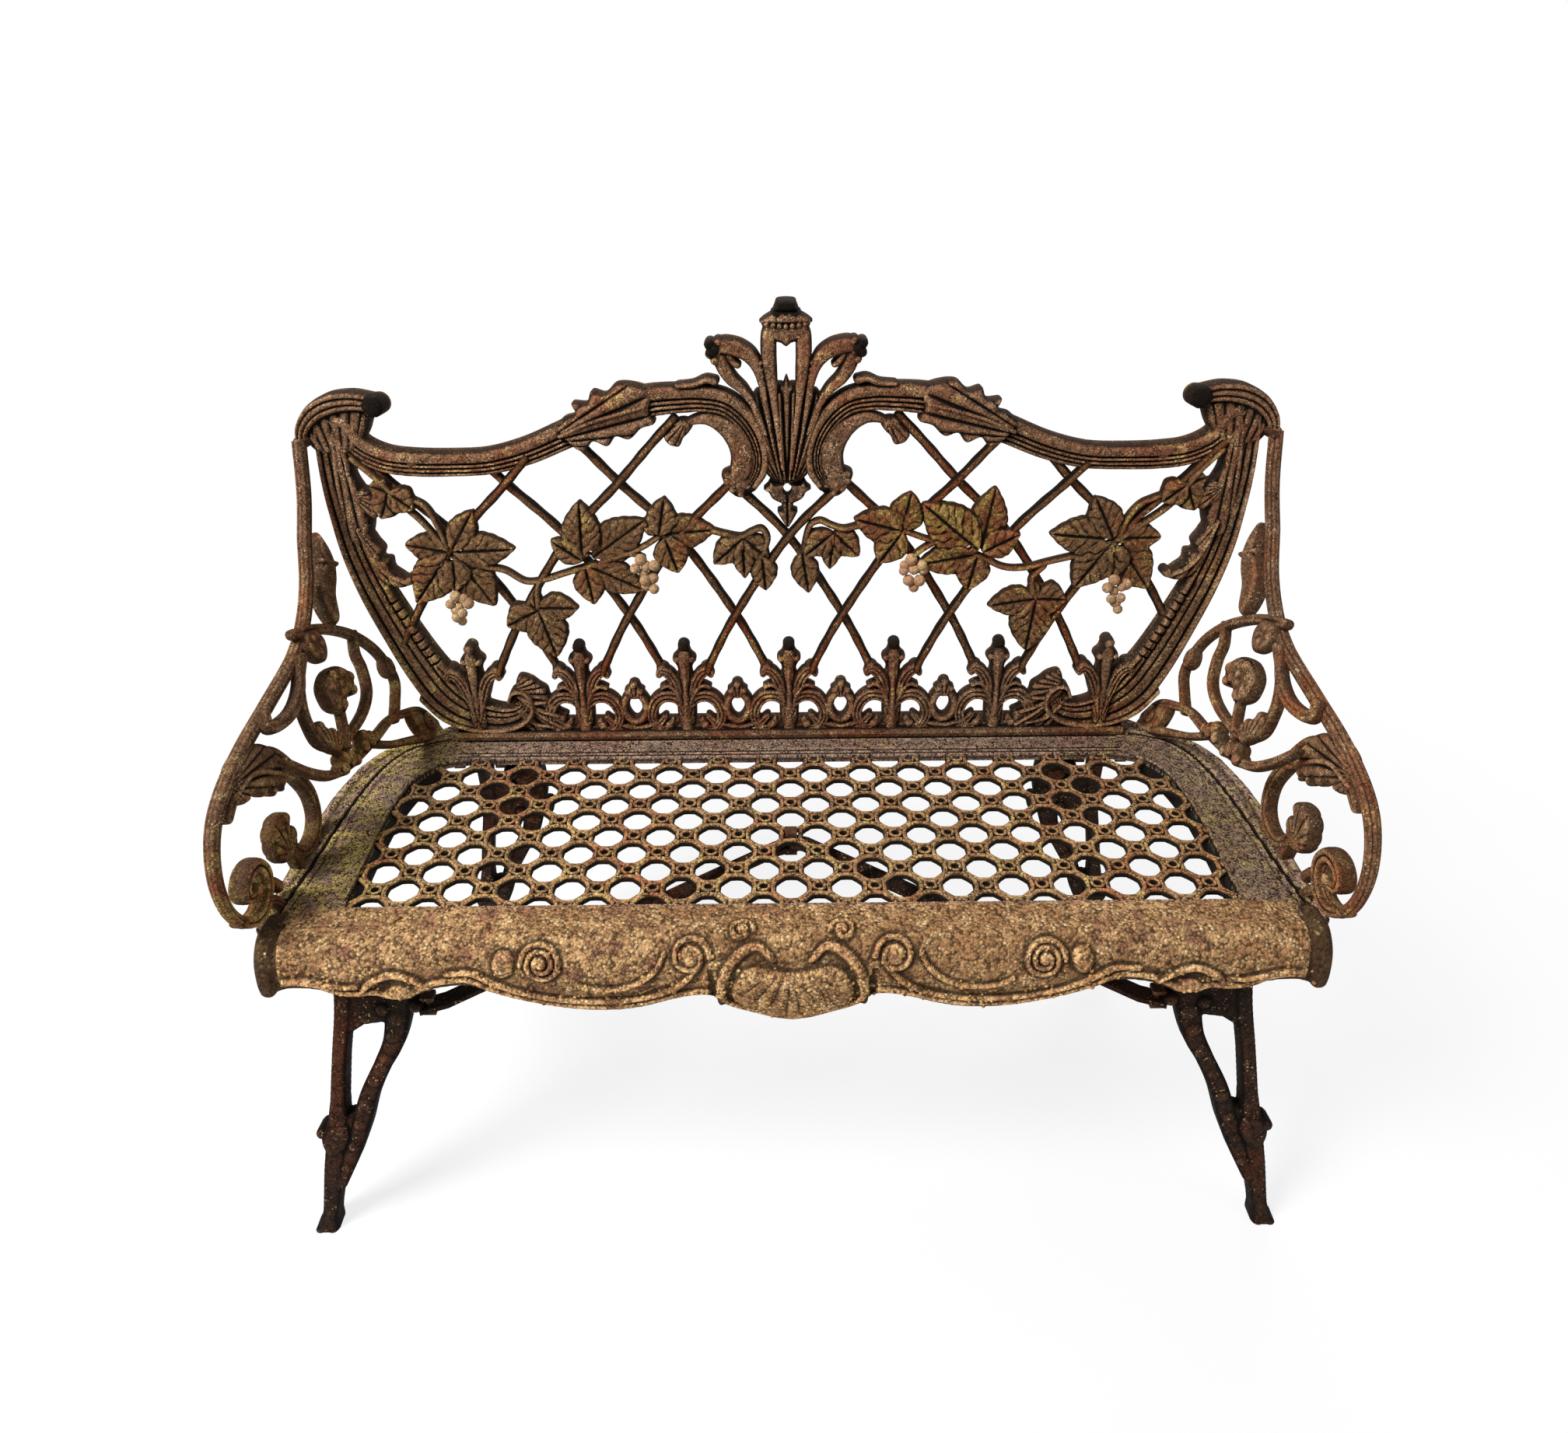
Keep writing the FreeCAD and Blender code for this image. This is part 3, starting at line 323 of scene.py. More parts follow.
def stroke(panel, points, widths, rise, shape):
    step = panel["step"]
    line, place = smoothLine(points, 1.6 * step)
    half = np.interp(place, np.linspace(0, len(points) - 1, len(widths)), widths) / 2
    spot = window(panel, line.min(0), line.max(0), half.max() + 3 * step)
    a, b = panel["across"][spot[0]], panel["up"][spot[1]]
    best = np.full((len(a), len(b)), nowhere)
    side = np.zeros_like(best)
    for k in range(len(line) - 1):
        p, d = line[k], line[k + 1] - line[k]
        reach = max(half[k], half[k + 1]) + 2 * step
        low, high = np.minimum(p, p + d) - reach, np.maximum(p, p + d) + reach
        box = (slice(np.searchsorted(a, low[0]), np.searchsorted(a, high[0])),
               slice(np.searchsorted(b, low[1]), np.searchsorted(b, high[1])))
        x, y = a[box[0], None] - p[0], b[None, box[1]] - p[1]
        t = np.clip((x * d[0] + y * d[1]) / (d @ d), 0, 1)
        offX, offY = x - t * d[0], y - t * d[1]
        away = np.hypot(offX, offY)
        wideHere = half[k] + t * (half[k + 1] - half[k])
        deep = wideHere - away
        better = deep > best[box]
        best[box] = np.where(better, deep, best[box])
        side[box] = np.where(better, np.sign(d[0] * offY - d[1] * offX) * away / wideHere, side[box])
    lay(panel, spot, best, rise * shape(np.clip(side, -1, 1)))


def petal(panel, points, rise, shape, closed=True):
    step = panel["step"]
    edge = smoothLine(points, 2.5 * step, True)[0] if closed else np.array(points, float)
    spot = window(panel, edge.min(0), edge.max(0), 3 * step)
    x, y = panel["across"][spot[0], None], panel["up"][None, spot[1]]
    away = np.full((x.shape[0], y.shape[1]), -nowhere)
    within = np.zeros(away.shape, bool)
    for p, q in zip(edge, np.roll(edge, -1, axis=0)):
        d = q - p
        t = np.clip(((x - p[0]) * d[0] + (y - p[1]) * d[1]) / max(d @ d, 1e-9), 0, 1)
        away = np.minimum(away, np.hypot(x - p[0] - t * d[0], y - p[1] - t * d[1]))
        if abs(d[1]) > 1e-9:
            crossing = p[0] + (y - p[1]) / d[1] * d[0]
            within ^= ((p[1] > y) != (q[1] > y)) & (x < crossing)
    inside = np.where(within, away, -away)
    lay(panel, spot, inside, rise * shape(x, y, inside))


def disc(panel, a, b, radius, rise, dome):
    spot = window(panel, (a, b), (a, b), radius + 3 * panel["step"])
    x, y = panel["across"][spot[0], None], panel["up"][None, spot[1]]
    inside = radius - np.hypot(x - a, y - b)
    share = np.clip(inside / radius, 0, 1)
    lay(panel, spot, inside, rise * (1 - dome + dome * np.sqrt(1 - (1 - share)**2)))


def pierce(panel, points, closed=True):
    hole = dict(panel, inside=np.full(panel["inside"].shape, nowhere), rise=panel["rise"].copy())
    petal(hole, points, 0.0, lambda x, y, inside: 0 * inside, closed)
    panel["inside"] = np.minimum(panel["inside"], -hole["inside"])


def carve(panel, points, widths, deep):
    cut = dict(panel, inside=np.full(panel["inside"].shape, nowhere), rise=np.zeros(panel["rise"].shape))
    stroke(cut, points, widths, deep, roundBar)
    panel["rise"] = np.maximum(panel["rise"] - cut["rise"], 0.0)


def leafLobe(panel, base, turn, length, wide, rise, veins):
    heading = math.radians(turn)
    way = np.array([math.sin(heading), math.cos(heading)])
    tip = np.array(base) + length * way
    low, high = np.minimum(base, tip) - wide, np.maximum(base, tip) + wide
    spot = window(panel, low, high, 2 * panel["step"])
    x, y = panel["across"][spot[0], None] - base[0], panel["up"][None, spot[1]] - base[1]
    u, v = (x * way[0] + y * way[1]) / length, x * way[1] - y * way[0]
    saw = 0.9 * np.abs(np.sin(u * length / 3.6))
    half = wide / 2 * np.sin(math.pi * np.clip(u, 0, 1)**0.82)**0.85 + saw
    pastEnds = np.abs(np.maximum(-u, u - 1) * length) + 0.5
    inside = np.where((u > 0) & (u < 1), half - np.abs(v), -pastEnds)
    share = np.clip(np.abs(v) / np.maximum(half, 0.5), 0, 1)
    fold = 0.68 + 0.32 * np.sin(math.pi * np.clip(share, 0, 1)**0.8)
    rib = 0.20 * np.exp(-(v / 1.2)**2)
    wander = 1.6 * np.sin(0.31 * x + 0.17 * y) + 1.2 * np.sin(0.23 * y - 0.4 * x)
    phase = np.cos((u * length - 0.9 * np.abs(v) + wander) * 2 * math.pi / veins)
    vein = 0.17 * np.clip((phase - 0.45) / 0.55, 0, 1) * np.clip(share * 4, 0, 1)
    vein = vein - 0.05 * np.sin(0.55 * x) * np.sin(0.47 * y)
    body = np.clip(inside / 3.0, 0, 1)**0.5
    lay(panel, spot, inside, rise * body * (fold - rib - vein + 0.12))


# Drawings are made for one side: these give the other side, or both

def onSide(sign, points):
    return [(sign * a, b) for a, b in points]


def bothHalves(points):
    return points + [(-a, b) for a, b in reversed(points) if a != 0]


def moved(points, across, up):
    return [(across + a, up + b) for a, b in points]


# Cross sections of the strokes

def roundBar(side):
    return np.sqrt(np.clip(1 - side**2, 0, 1))


def softBar(side):
    return np.clip(1 - side**4, 0, 1)**0.5


def reeds(count, deep):
    def shape(side):
        u = 2 * np.mod(count * (0.998 * side + 1) / 2, 1) - 1
        return np.clip(1 - side**6, 0, 1)**0.5 * (1 - deep + deep * np.sqrt(1 - 0.98 * u * u))
    return shape


def pillow(radius):
    def shape(x, y, inside):
        return np.sqrt(np.clip(1 - (1 - np.clip(inside / radius, 0, 1))**2, 0, 1))
    return shape


def fanned(root, spread, ribs, radius, deep):
    def shape(x, y, inside):
        angle = np.arctan2(x - root[0], y - root[1]) / math.radians(spread)
        u = 2 * np.mod(ribs * angle + 0.5, 1) - 1
        body = np.sqrt(np.clip(1 - (1 - np.clip(inside / radius, 0, 1))**2, 0, 1))
        return body * (1 - deep + deep * np.sqrt(1 - 0.98 * u * u))
    return shape


def boxMean(field, reach):
    total = np.pad(np.cumsum(np.cumsum(field, 0), 1), ((1, 0), (1, 0)))
    spots = [np.arange(count) for count in field.shape]
    i0, j0 = [np.clip(row - reach, 0, len(row)) for row in spots]
    i1, j1 = [np.clip(row + reach + 1, 0, len(row)) for row in spots]
    return total[i1][:, j1] - total[i0][:, j1] - total[i1][:, j0] + total[i0][:, j0]


# Wear and painted light of each point, from 0 in painted shade to 1 on what is rubbed bare or carries a
# painted highlight
# edge and backEdge are painted shade on the outline walls, front and back
patinaAndShade = dict(middle=0.5, edge=0.34, backEdge=0.44, nearBlack=0.27, slope=2.5,
              reaches=((5.0, 0.20), (14.0, 0.045)))


def castPanel(panel, front, back, backRelief=0.0, edge=patinaAndShade["edge"]):
    field, rise, step = panel["inside"], panel["rise"], panel["step"]
    field = np.pad(field, 1, constant_values=nowhere)
    rise = np.pad(rise, 1)
    a0, b0 = panel["across"][0] - step, panel["up"][0] - step
    solid = field > 0
    wornAndShadedBy = np.full(rise.shape, patinaAndShade["middle"])
    for reach, share in patinaAndShade["reaches"]:               # painted shade in the hollows; what stands out wears pale and gets a painted highlight
        near = max(2, int(reach / step))
        mean = boxMean(rise * solid, near) / np.maximum(boxMean(solid.astype(float), near), 1)
        wornAndShadedBy += share * (rise - mean)
    outerSlope = field < patinaAndShade["slope"]                 # which is no hollow: it keeps at least the edge value, a lighter painted shade
    wornAndShadedBy = np.where(outerSlope, np.maximum(wornAndShadedBy, edge), wornAndShadedBy)
    ids = np.full(field.shape, -1)
    ids[solid] = np.arange(solid.sum())
    i, j = np.nonzero(solid)
    flat = [np.stack([a0 + i * step, b0 + j * step], 1)]
    high, wear = [rise[solid]], [np.clip(wornAndShadedBy[solid], 0, 1)]
    count = len(i)
    cross = []
    for axis in (0, 1):
        one = (slice(None, -1), slice(None)) if axis == 0 else (slice(None), slice(None, -1))
        two = (slice(1, None), slice(None)) if axis == 0 else (slice(None), slice(1, None))
        change = solid[one] != solid[two]
        index = np.full(change.shape, -1)
        index[change] = count + np.arange(change.sum())
        count += int(change.sum())
        i, j = np.nonzero(change)
        p, q = np.clip(field[one][change], -9, 9), np.clip(field[two][change], -9, 9)
        t = np.clip(p / (p - q), 0.08, 0.92)
        flat.append(np.stack([a0 + (i + t * (axis == 0)) * step, b0 + (j + t * (axis == 1)) * step], 1))
        high.append(np.zeros(len(i)))
        # points on the outline take the edge value: painted shade along the walls
        wear.append(np.full(len(i), edge))
        cross.append(index)
    flat, high, wear = np.vstack(flat), np.concatenate(high), np.concatenate(wear)
    for a, b, radius in panel["nearBlack"]:                   # places where the casting is nearly black
        away = np.hypot(flat[:, 0] - a, flat[:, 1] - b)
        wear = np.where(away < radius, np.minimum(wear, patinaAndShade["nearBlack"]), wear)
    c = [ids[:-1, :-1], ids[1:, :-1], ids[1:, 1:], ids[:-1, 1:]]                     # corners of each cell
    e = [cross[0][:, :-1], cross[1][1:, :], cross[0][:, 1:], cross[1][:-1, :]]       # its cut edges
    whole = (c[0] >= 0) & (c[1] >= 0) & (c[2] >= 0) & (c[3] >= 0)
    faces = np.stack([k[whole] for k in c], 1).tolist()
    part = ~whole & ((c[0] >= 0) | (c[1] >= 0) | (c[2] >= 0) | (c[3] >= 0))
    walls = []
    for row in np.stack([k[part] for k in c + e], 1).tolist():       # cells that the outline crosses
        ring, leaving, first = [], None, None
        for k in range(4):
            if row[k] >= 0:
                ring.append(row[k])
            if row[4 + k] >= 0:
                ring.append(row[4 + k])
                if row[k] >= 0:
                    leaving = row[4 + k]
                elif leaving is None:
                    first = row[4 + k]
                else:
                    walls.append((leaving, row[4 + k]))
                    leaving = None
        if first is not None:
            walls.append((leaving, first))
        faces.append(ring)
    shift = len(flat)
    every = faces + [[k + shift for k in reversed(face)] for face in faces]
    every += [[q, p, p + shift, q + shift] for p, q in walls]
    depth = np.concatenate([-front - high, back + high * backRelief])
    points = np.column_stack([np.vstack([flat, flat]), depth])
    # back faces: same values where the back has relief, else the middle value, with painted shade on the
    # back outline
    behind = wear if backRelief else np.where(high > 0, patinaAndShade["middle"], patinaAndShade["backEdge"])
    return points, every, np.concatenate([wear, behind])


def onBack(points):
    lean, a, b, y = bench["backLean"], points[:, 0], points[:, 1], points[:, 2]
    return mm * np.column_stack([a, bench["backFoot"] + b * math.sin(lean) + y * math.cos(lean),
                                 seatTop + b * math.cos(lean) - y * math.sin(lean)])


def sweptFaces(rows, count, rowFaces, faces):            # quads between rows of points
    return [[r * count + k, (r + 1) % rows * count + k, (r + 1) % rows * count + (k + 1) % count,
             r * count + (k + 1) % count] for r in range(rowFaces) for k in range(faces)]


def mirrored(points, faces):
    return points * np.array([-1, 1, 1]), [face[::-1] for face in faces]


def castPair(panel, names, look, place, front, back, backRelief=0.0, replaced=None, edge=patinaAndShade["edge"]):
    points, faces, wear = castPanel(panel, front, back, backRelief, edge)
    points = place(points)
    replaced = replaced or [(names[0],), (names[1],)]
    addPiece(names[0] + "_casting", points, faces, look, replaced[0], wear)
    other, turned = mirrored(points, faces)
    addPiece(names[1] + "_casting", other, turned, look, replaced[1], wear)
    print(names[0], "cast:", 2 * len(faces), "faces")


# Back stiles: corner roll, banded upright, acanthus, bottom scroll and the corner lily

stile = dict(step=1.3, front=0.0, back=12.0, rise=12.0)


def lily(panel, a, b, rise):
    bud = [(0, 134), (6, 131), (7, 124), (9, 118), (14, 113), (15, 107), (11, 101), (9, 94), (11, 84),
           (14, 70), (13, 48), (9, 12)]
    petal(panel, moved(bothHalves(bud), a, b), rise, fanned((a, b + 10), 14, 1.5, 8.0, 0.35))
    disc(panel, a, b + 127, 7.5, rise + 1.5, 0.7)
    for side in (1, -1):
        disc(panel, a + side * 9.5, b + 109, 5.0, rise, 0.8)
        curl = [(4, 42), (9, 62), (14, 78), (21, 89), (29, 93), (33, 88)]
        stroke(panel, moved(onSide(side, curl), a, b), [9, 14, 15, 15, 13, 9], rise, reeds(3, 0.45))
        cup = [(20, 98), (28, 104), (36, 99), (34, 91), (24, 90)]
        petal(panel, moved(onSide(side, cup), a, b), rise - 2, pillow(5.0))


def stileBand(side):
    edge = np.clip(1 - np.abs(side)**10, 0, 1)**0.5
    outer = np.exp(-((side - 0.74) / 0.16)**2)
    inner = np.exp(-((side + 0.82) / 0.12)**2)
    groove = sum(np.exp(-((side - at) / 0.055)**2) for at in (0.42, -0.16, -0.60))
    height = 0.66 + 0.32 * outer + 0.32 * inner - 0.30 * groove + 0.10 * np.cos(side * 2.2)
    return edge * np.clip(height, 0.05, 1.1)


def railBand(side):
    edge = np.clip(1 - np.abs(side)**8, 0, 1)**0.5
    groove = sum(np.exp(-((side - at) / 0.065)**2) for at in (0.0, 0.34, 0.66))
    crown = np.exp(-((side + 0.5) / 0.42)**2)
    return edge * np.clip(0.74 + 0.22 * crown - 0.44 * groove, 0.05, 1.1)


def rightStile():
    panel = newPanel((278, -2), (578, 452), stile["step"])
    high = stile["rise"]
    line = [(526, 404), (528, 372), (528, 338), (525, 302), (518, 252), (504, 200), (484, 146), (464, 100),
            (444, 64), (422, 43), (399, 33), (374, 28), (352, 32), (338, 44), (338, 58), (348, 64),
            (355, 57), (350, 49)]
    widths = [27, 28, 30, 33, 37, 41, 44, 48, 50, 47, 42, 35, 27, 18, 12, 10, 9, 8]
    stroke(panel, line, widths, high, stileBand)
    fromRail = [(516, 424), (508, 404), (492, 380), (466, 366), (440, 361)]
    stroke(panel, fromRail, [22, 28, 29, 29, 28], high - 3, railBand)
    roll = [(554, 387), (549, 404), (535, 420), (514, 430), (490, 433), (467, 430)]
    stroke(panel, roll, [13, 17, 21, 23, 22, 19], high + 4, reeds(3, 0.35))
    disc(panel, 556, 387, 8.0, high + 6, 0.7)
    disc(panel, 463, 428, 12.0, high + 8, 0.3)
    panel["nearBlack"].append((463, 428, 13.0))
    crown = [(472, 422), (492, 430), (520, 426), (542, 408), (549, 390), (540, 376), (520, 372), (500, 374),
             (486, 388), (476, 404)]
    petal(panel, crown, high - 1, fanned((512, 330), 8, 1.0, 8.0, 0.35))
    flap = [(522, 402), (506, 394), (502, 366), (503, 348), (494, 326), (491, 300), (497, 276), (508, 262),
            (522, 270), (527, 310), (528, 360)]
    petal(panel, flap, high - 0.5, fanned((514, 436), 5, 1.0, 8.0, 0.35))
    lobe = [(508, 330), (497, 333), (488, 328), (482, 316), (480, 303), (488, 296), (498, 302), (508, 312)]
    petal(panel, lobe, high + 1, fanned((508, 326), 14, 1.0, 7.0, 0.35))
    leaf = [(508, 292), (500, 284), (495, 276), (491, 268), (485, 258), (488, 248), (479, 246), (478, 234),
            (470, 227), (463, 222), (455, 224), (457, 214), (472, 209), (488, 215), (500, 232), (508, 258)]
    petal(panel, leaf, high + 1, fanned((512, 290), 9, 1.0, 7.0, 0.35))
    stroke(panel, [(508, 284), (498, 254), (484, 230), (462, 217)], [5, 6, 6, 5], high + 4, roundBar)
    disc(panel, 459, 219, 6.0, high + 4, 0.9)
    stroke(panel, [(488, 210), (478, 186), (462, 150), (444, 116), (430, 96)], [8, 9, 10, 10, 8],
           high + 2.5, roundBar)
    for k in range(9):                                   # notches across the bead on the inner edge
        a, b = 482 - 4.6 * k, 192 - 10.4 * k
        carve(panel, [(a + 6, b - 4), (a - 7, b + 4)], [3.2, 3.2], 6.0)
    lily(panel, 3 * bench["fleurPitch"] + 4, 0, high + 1)
    rim = [(470, 60), (446, 32), (416, 17), (385, 13), (358, 16), (338, 27), (329, 42), (331, 58),
           (341, 68), (353, 66), (359, 55)]
    stroke(panel, rim, [6, 8, 8, 8, 8, 8, 8, 8, 7, 6, 5], high + 4, roundBar)
    return panel


castPair(rightStile(), ("back_right_stile", "back_left_stile"), "backIron", onBack, stile["front"],
         stile["back"])


# Top rails: a smooth crown over three grooves, from the corner into the volute beside the crest

rail = dict(step=1.3, front=0.0, back=12.0, rise=12.0)


def rightTopRail():
    panel = newPanel((18, 296), (524, 462), rail["step"])
    high = rail["rise"]
    line = [(508, 404), (492, 380), (466, 366), (435, 361), (390, 360), (345, 362), (300, 373), (255, 391),
            (212, 409), (178, 420)]
    stroke(panel, line, [30, 31, 31, 31, 30, 30, 31, 32, 36, 38], high, railBand)
    scroll = [(192, 421), (174, 425), (150, 429), (122, 431), (95, 431), (70, 426), (50, 411), (36, 390),
              (30, 368), (32, 348), (42, 331)]
    stroke(panel, scroll, [36, 36, 35, 33, 31, 29, 27, 24, 21, 19, 15], high + 1, railBand)
    cove = [(116, 402), (104, 407), (90, 408), (75, 402), (61, 390), (52, 372), (52, 354), (58, 340),
            (65, 332)]
    stroke(panel, cove, [8, 10, 14, 19, 25, 28, 28, 22, 12], high - 2, softBar)
    petal(panel, [(76, 346), (72, 330), (60, 317), (46, 318), (37, 329), (42, 344), (58, 352)], high - 2,
          pillow(16.0))
    for a, b in ((64, 327), (54, 322), (45, 329), (70, 336), (57, 332)):
        disc(panel, a, b, 5.0, high, 0.9)
    panel["nearBlack"].append((42, 322, 9.0))
    bud = [(112, 408), (124, 408), (134, 397), (141, 389), (136, 380), (124, 377), (119, 386), (112, 393),
           (107, 401)]
    petal(panel, bud, high + 3, fanned((112, 410), 16, 1.0, 7.0, 0.4))
    wrap = [(262, 398), (254, 411), (240, 416), (243, 428), (226, 428), (219, 441), (204, 438), (190, 449),
            (166, 447), (150, 438), (154, 420), (150, 404), (166, 398), (180, 386), (196, 389), (206, 378),
            (222, 384), (236, 372)]
    petal(panel, wrap, high + 4, fanned((280, 384), 9, 1.0, 8.0, 0.4))
    stroke(panel, [(258, 392), (220, 408), (160, 424)], [6, 7, 5], high + 7, roundBar)
    stroke(panel, [(122, 446), (104, 447), (90, 452), (80, 450)], [6, 8, 9, 10], high + 3, roundBar)
    return panel


castPair(rightTopRail(), ("back_right_top_rail", "back_left_top_rail"), "backIron", onBack, rail["front"],
         rail["back"])


# Crest: palmette with a middle loop, side loops, cap and hanging tassel

crest = dict(step=1.1, front=1.0, back=12.0, rise=12.0, tasselHalf=22.0, tasselTop=352.0, tasselDarkening=0.75)


def crestPanel():
    panel = newPanel((-98, 276), (98, 546), crest["step"])
    high = crest["rise"]
    heart = [(0, 455), (4, 446), (8, 448), (14, 443), (24, 438), (34, 440), (40, 426), (38, 400), (32, 378),
             (27, 358), (24, 344), (12, 334), (0, 330)]
    petal(panel, bothHalves(heart), high - 2, fanned((0, 318), 6, 1.0, 9.0, 0.55))
    for side in (1, -1):
        def at(*points):
            return onSide(side, points)
        upper = at((19, 400), (25, 436), (31, 462), (40, 477), (53, 485), (68, 488), (78, 486))
        stroke(panel, upper, [5, 8, 13, 18, 20, 20, 16], high + 2, softBar)
        lower = at((24, 392), (35, 420), (48, 440), (61, 452), (69, 464), (74, 476))
        stroke(panel, lower, [5, 8, 12, 15, 17, 17], high + 1, softBar)
        stroke(panel, at((64, 478), (58, 470), (54, 467)), [11, 10, 8], high, roundBar)
        for a, b, radius in ((78, 484, 9), (84, 490, 6.5), (75, 492, 6), (84, 480, 5.5), (79, 473, 5)):
            disc(panel, side * a, b, radius, high + 4, 0.6)
        limb = at((5, 352), (10, 396), (15, 436), (18, 460), (19.5, 480), (19, 498), (16, 510))
        stroke(panel, limb, [4, 7, 11, 16, 18, 18, 14], high + 3, softBar)
        for k in range(5):                               # beads at the fork of the loops
            disc(panel, side * (24.5 + 0.9 * k), 442 + 7.0 * k, 3.0, high + 3, 0.8)
        stroke(panel, at((3, 340), (6, 388), (8, 436)), [3, 4, 4], high + 2, roundBar)
        stroke(panel, at((7, 340), (18, 392), (28, 436)), [3, 5, 4], high + 2, roundBar)
        stroke(panel, at((11, 344), (25, 386), (38, 420)), [3, 4, 3], high + 1, roundBar)
        wing = at((0, 338), (8, 334), (15, 333), (19, 337), (23, 331), (28, 326), (22, 322), (18, 315),
                  (9, 310), (0, 308))
        petal(panel, wing, high - 4, pillow(5.0))
        petal(panel, at((0, 312), (7, 309), (6, 303), (12, 300), (8, 291), (4, 284), (0, 280)), high - 3,
              pillow(5.0))
    petal(panel, [(-25, 514), (-22, 500), (-16, 492), (-6, 490), (0, 486), (6, 490), (16, 492), (22, 500),
                  (25, 514)], high + 3, pillow(10.0))
    petal(panel, [(-10, 440), (-6, 448), (-3, 446), (0, 454), (3, 446), (6, 448), (10, 440), (0, 430)],
          high - 2, pillow(9.0))
    collar = [(-29, 512), (-24, 518), (-17, 522), (-14, 526), (14, 526), (17, 522), (24, 518), (29, 512),
              (0, 510)]
    petal(panel, collar, high + 7, pillow(6.0))
    for k in range(-3, 4):
        disc(panel, 7 * k, 509.5 + 0.25 * k * k, 4.0, high + 6.0, 0.5)
    petal(panel, [(-13, 524), (13, 524), (12, 531), (9, 536), (-9, 536), (-12, 531)], high + 8, pillow(5.0))
    panel["nearBlack"] += [(0, 534, 13.0), (-10, 526, 7.0), (10, 526, 7.0)]
    panel["nearBlack"] += [(-82, 486, 9.0), (82, 486, 9.0)]
    pierce(panel, [(0, 319), (4.5, 323), (4.5, 330), (0, 334), (-4.5, 330), (-4.5, 323)])
    return panel


points, faces, wear = castPanel(crestPanel(), crest["front"], crest["back"])
# the hanging tassel is darker
tassel = (np.abs(points[:, 0]) < crest["tasselHalf"]) & (points[:, 1] < crest["tasselTop"])
wear = np.where(tassel, crest["tasselDarkening"] * wear, wear)
addPiece("back_crest_casting", onBack(points), faces, "backIron", ("back_crest",), wear)
print("crest cast:", len(faces), "faces")


# Node trees for what repeats, follows a path or grows on a surface

def newTree(name, **sockets):
    tree = bpy.data.node_groups.new(name, "GeometryNodeTree")
    tree.interface.new_socket("Geometry", in_out="INPUT", socket_type="NodeSocketGeometry")
    for label, kind in sockets.items():
        tree.interface.new_socket(label, in_out="INPUT", socket_type="NodeSocket" + kind)
    tree.interface.new_socket("Geometry", in_out="OUTPUT", socket_type="NodeSocketGeometry")
    return tree, addNode(tree, "NodeGroupInput").outputs, addNode(tree, "NodeGroupOutput").inputs


def finishTree(tree, geometry, iron, result):
    real = addNode(tree, "GeometryNodeRealizeInstances", {"Geometry": geometry})
    smooth = addNode(tree, "GeometryNodeSetShadeSmooth", {"Geometry": real.outputs["Geometry"]})
    feeds = {"Geometry": smooth.outputs["Geometry"], "Material": iron}
    paint = addNode(tree, "GeometryNodeSetMaterial", feeds)
    feed(tree, result["Geometry"], paint.outputs["Geometry"])
    return tree


def randomSize(tree, given):
    feeds = {2: given["Least"], 3: given["Most"], "Seed": given["Seed"]}
    return addNode(tree, "FunctionNodeRandomValue", feeds, data_type="FLOAT").outputs[1]


def attribute(tree, name):
    node = addNode(tree, "GeometryNodeInputNamedAttribute", {"Name": name}, data_type="FLOAT")
    return node.outputs["Attribute"]


def withWearAndPaintedLight(tree, geometry, value):
    feeds = {"Geometry": geometry, "Name": "wear", "Value": value}
    node = addNode(tree, "GeometryNodeStoreNamedAttribute", feeds, data_type="FLOAT", domain="POINT")
    return node.outputs["Geometry"]


def unitsTree():
    tree, given, result = newTree("unitsOnPoints", Unit="Object", Least="Float", Most="Float", Seed="Int",
                                  Iron="Material")
    unit = addNode(tree, "GeometryNodeObjectInfo", {"Object": given["Unit"]})
    put = addNode(tree, "GeometryNodeInstanceOnPoints",
                  {"Points": given["Geometry"], "Instance": unit.outputs["Geometry"],
                   "Scale": randomSize(tree, given)})
    return finishTree(tree, put.outputs["Instances"], given["Iron"], result)


# crownWearAndLight: wear with a painted highlight on the bar's crown; grooveShade: painted shade in its
# grooves
bar = dict(facets=30, crownWearAndLight=0.58, grooveShade=1.5)


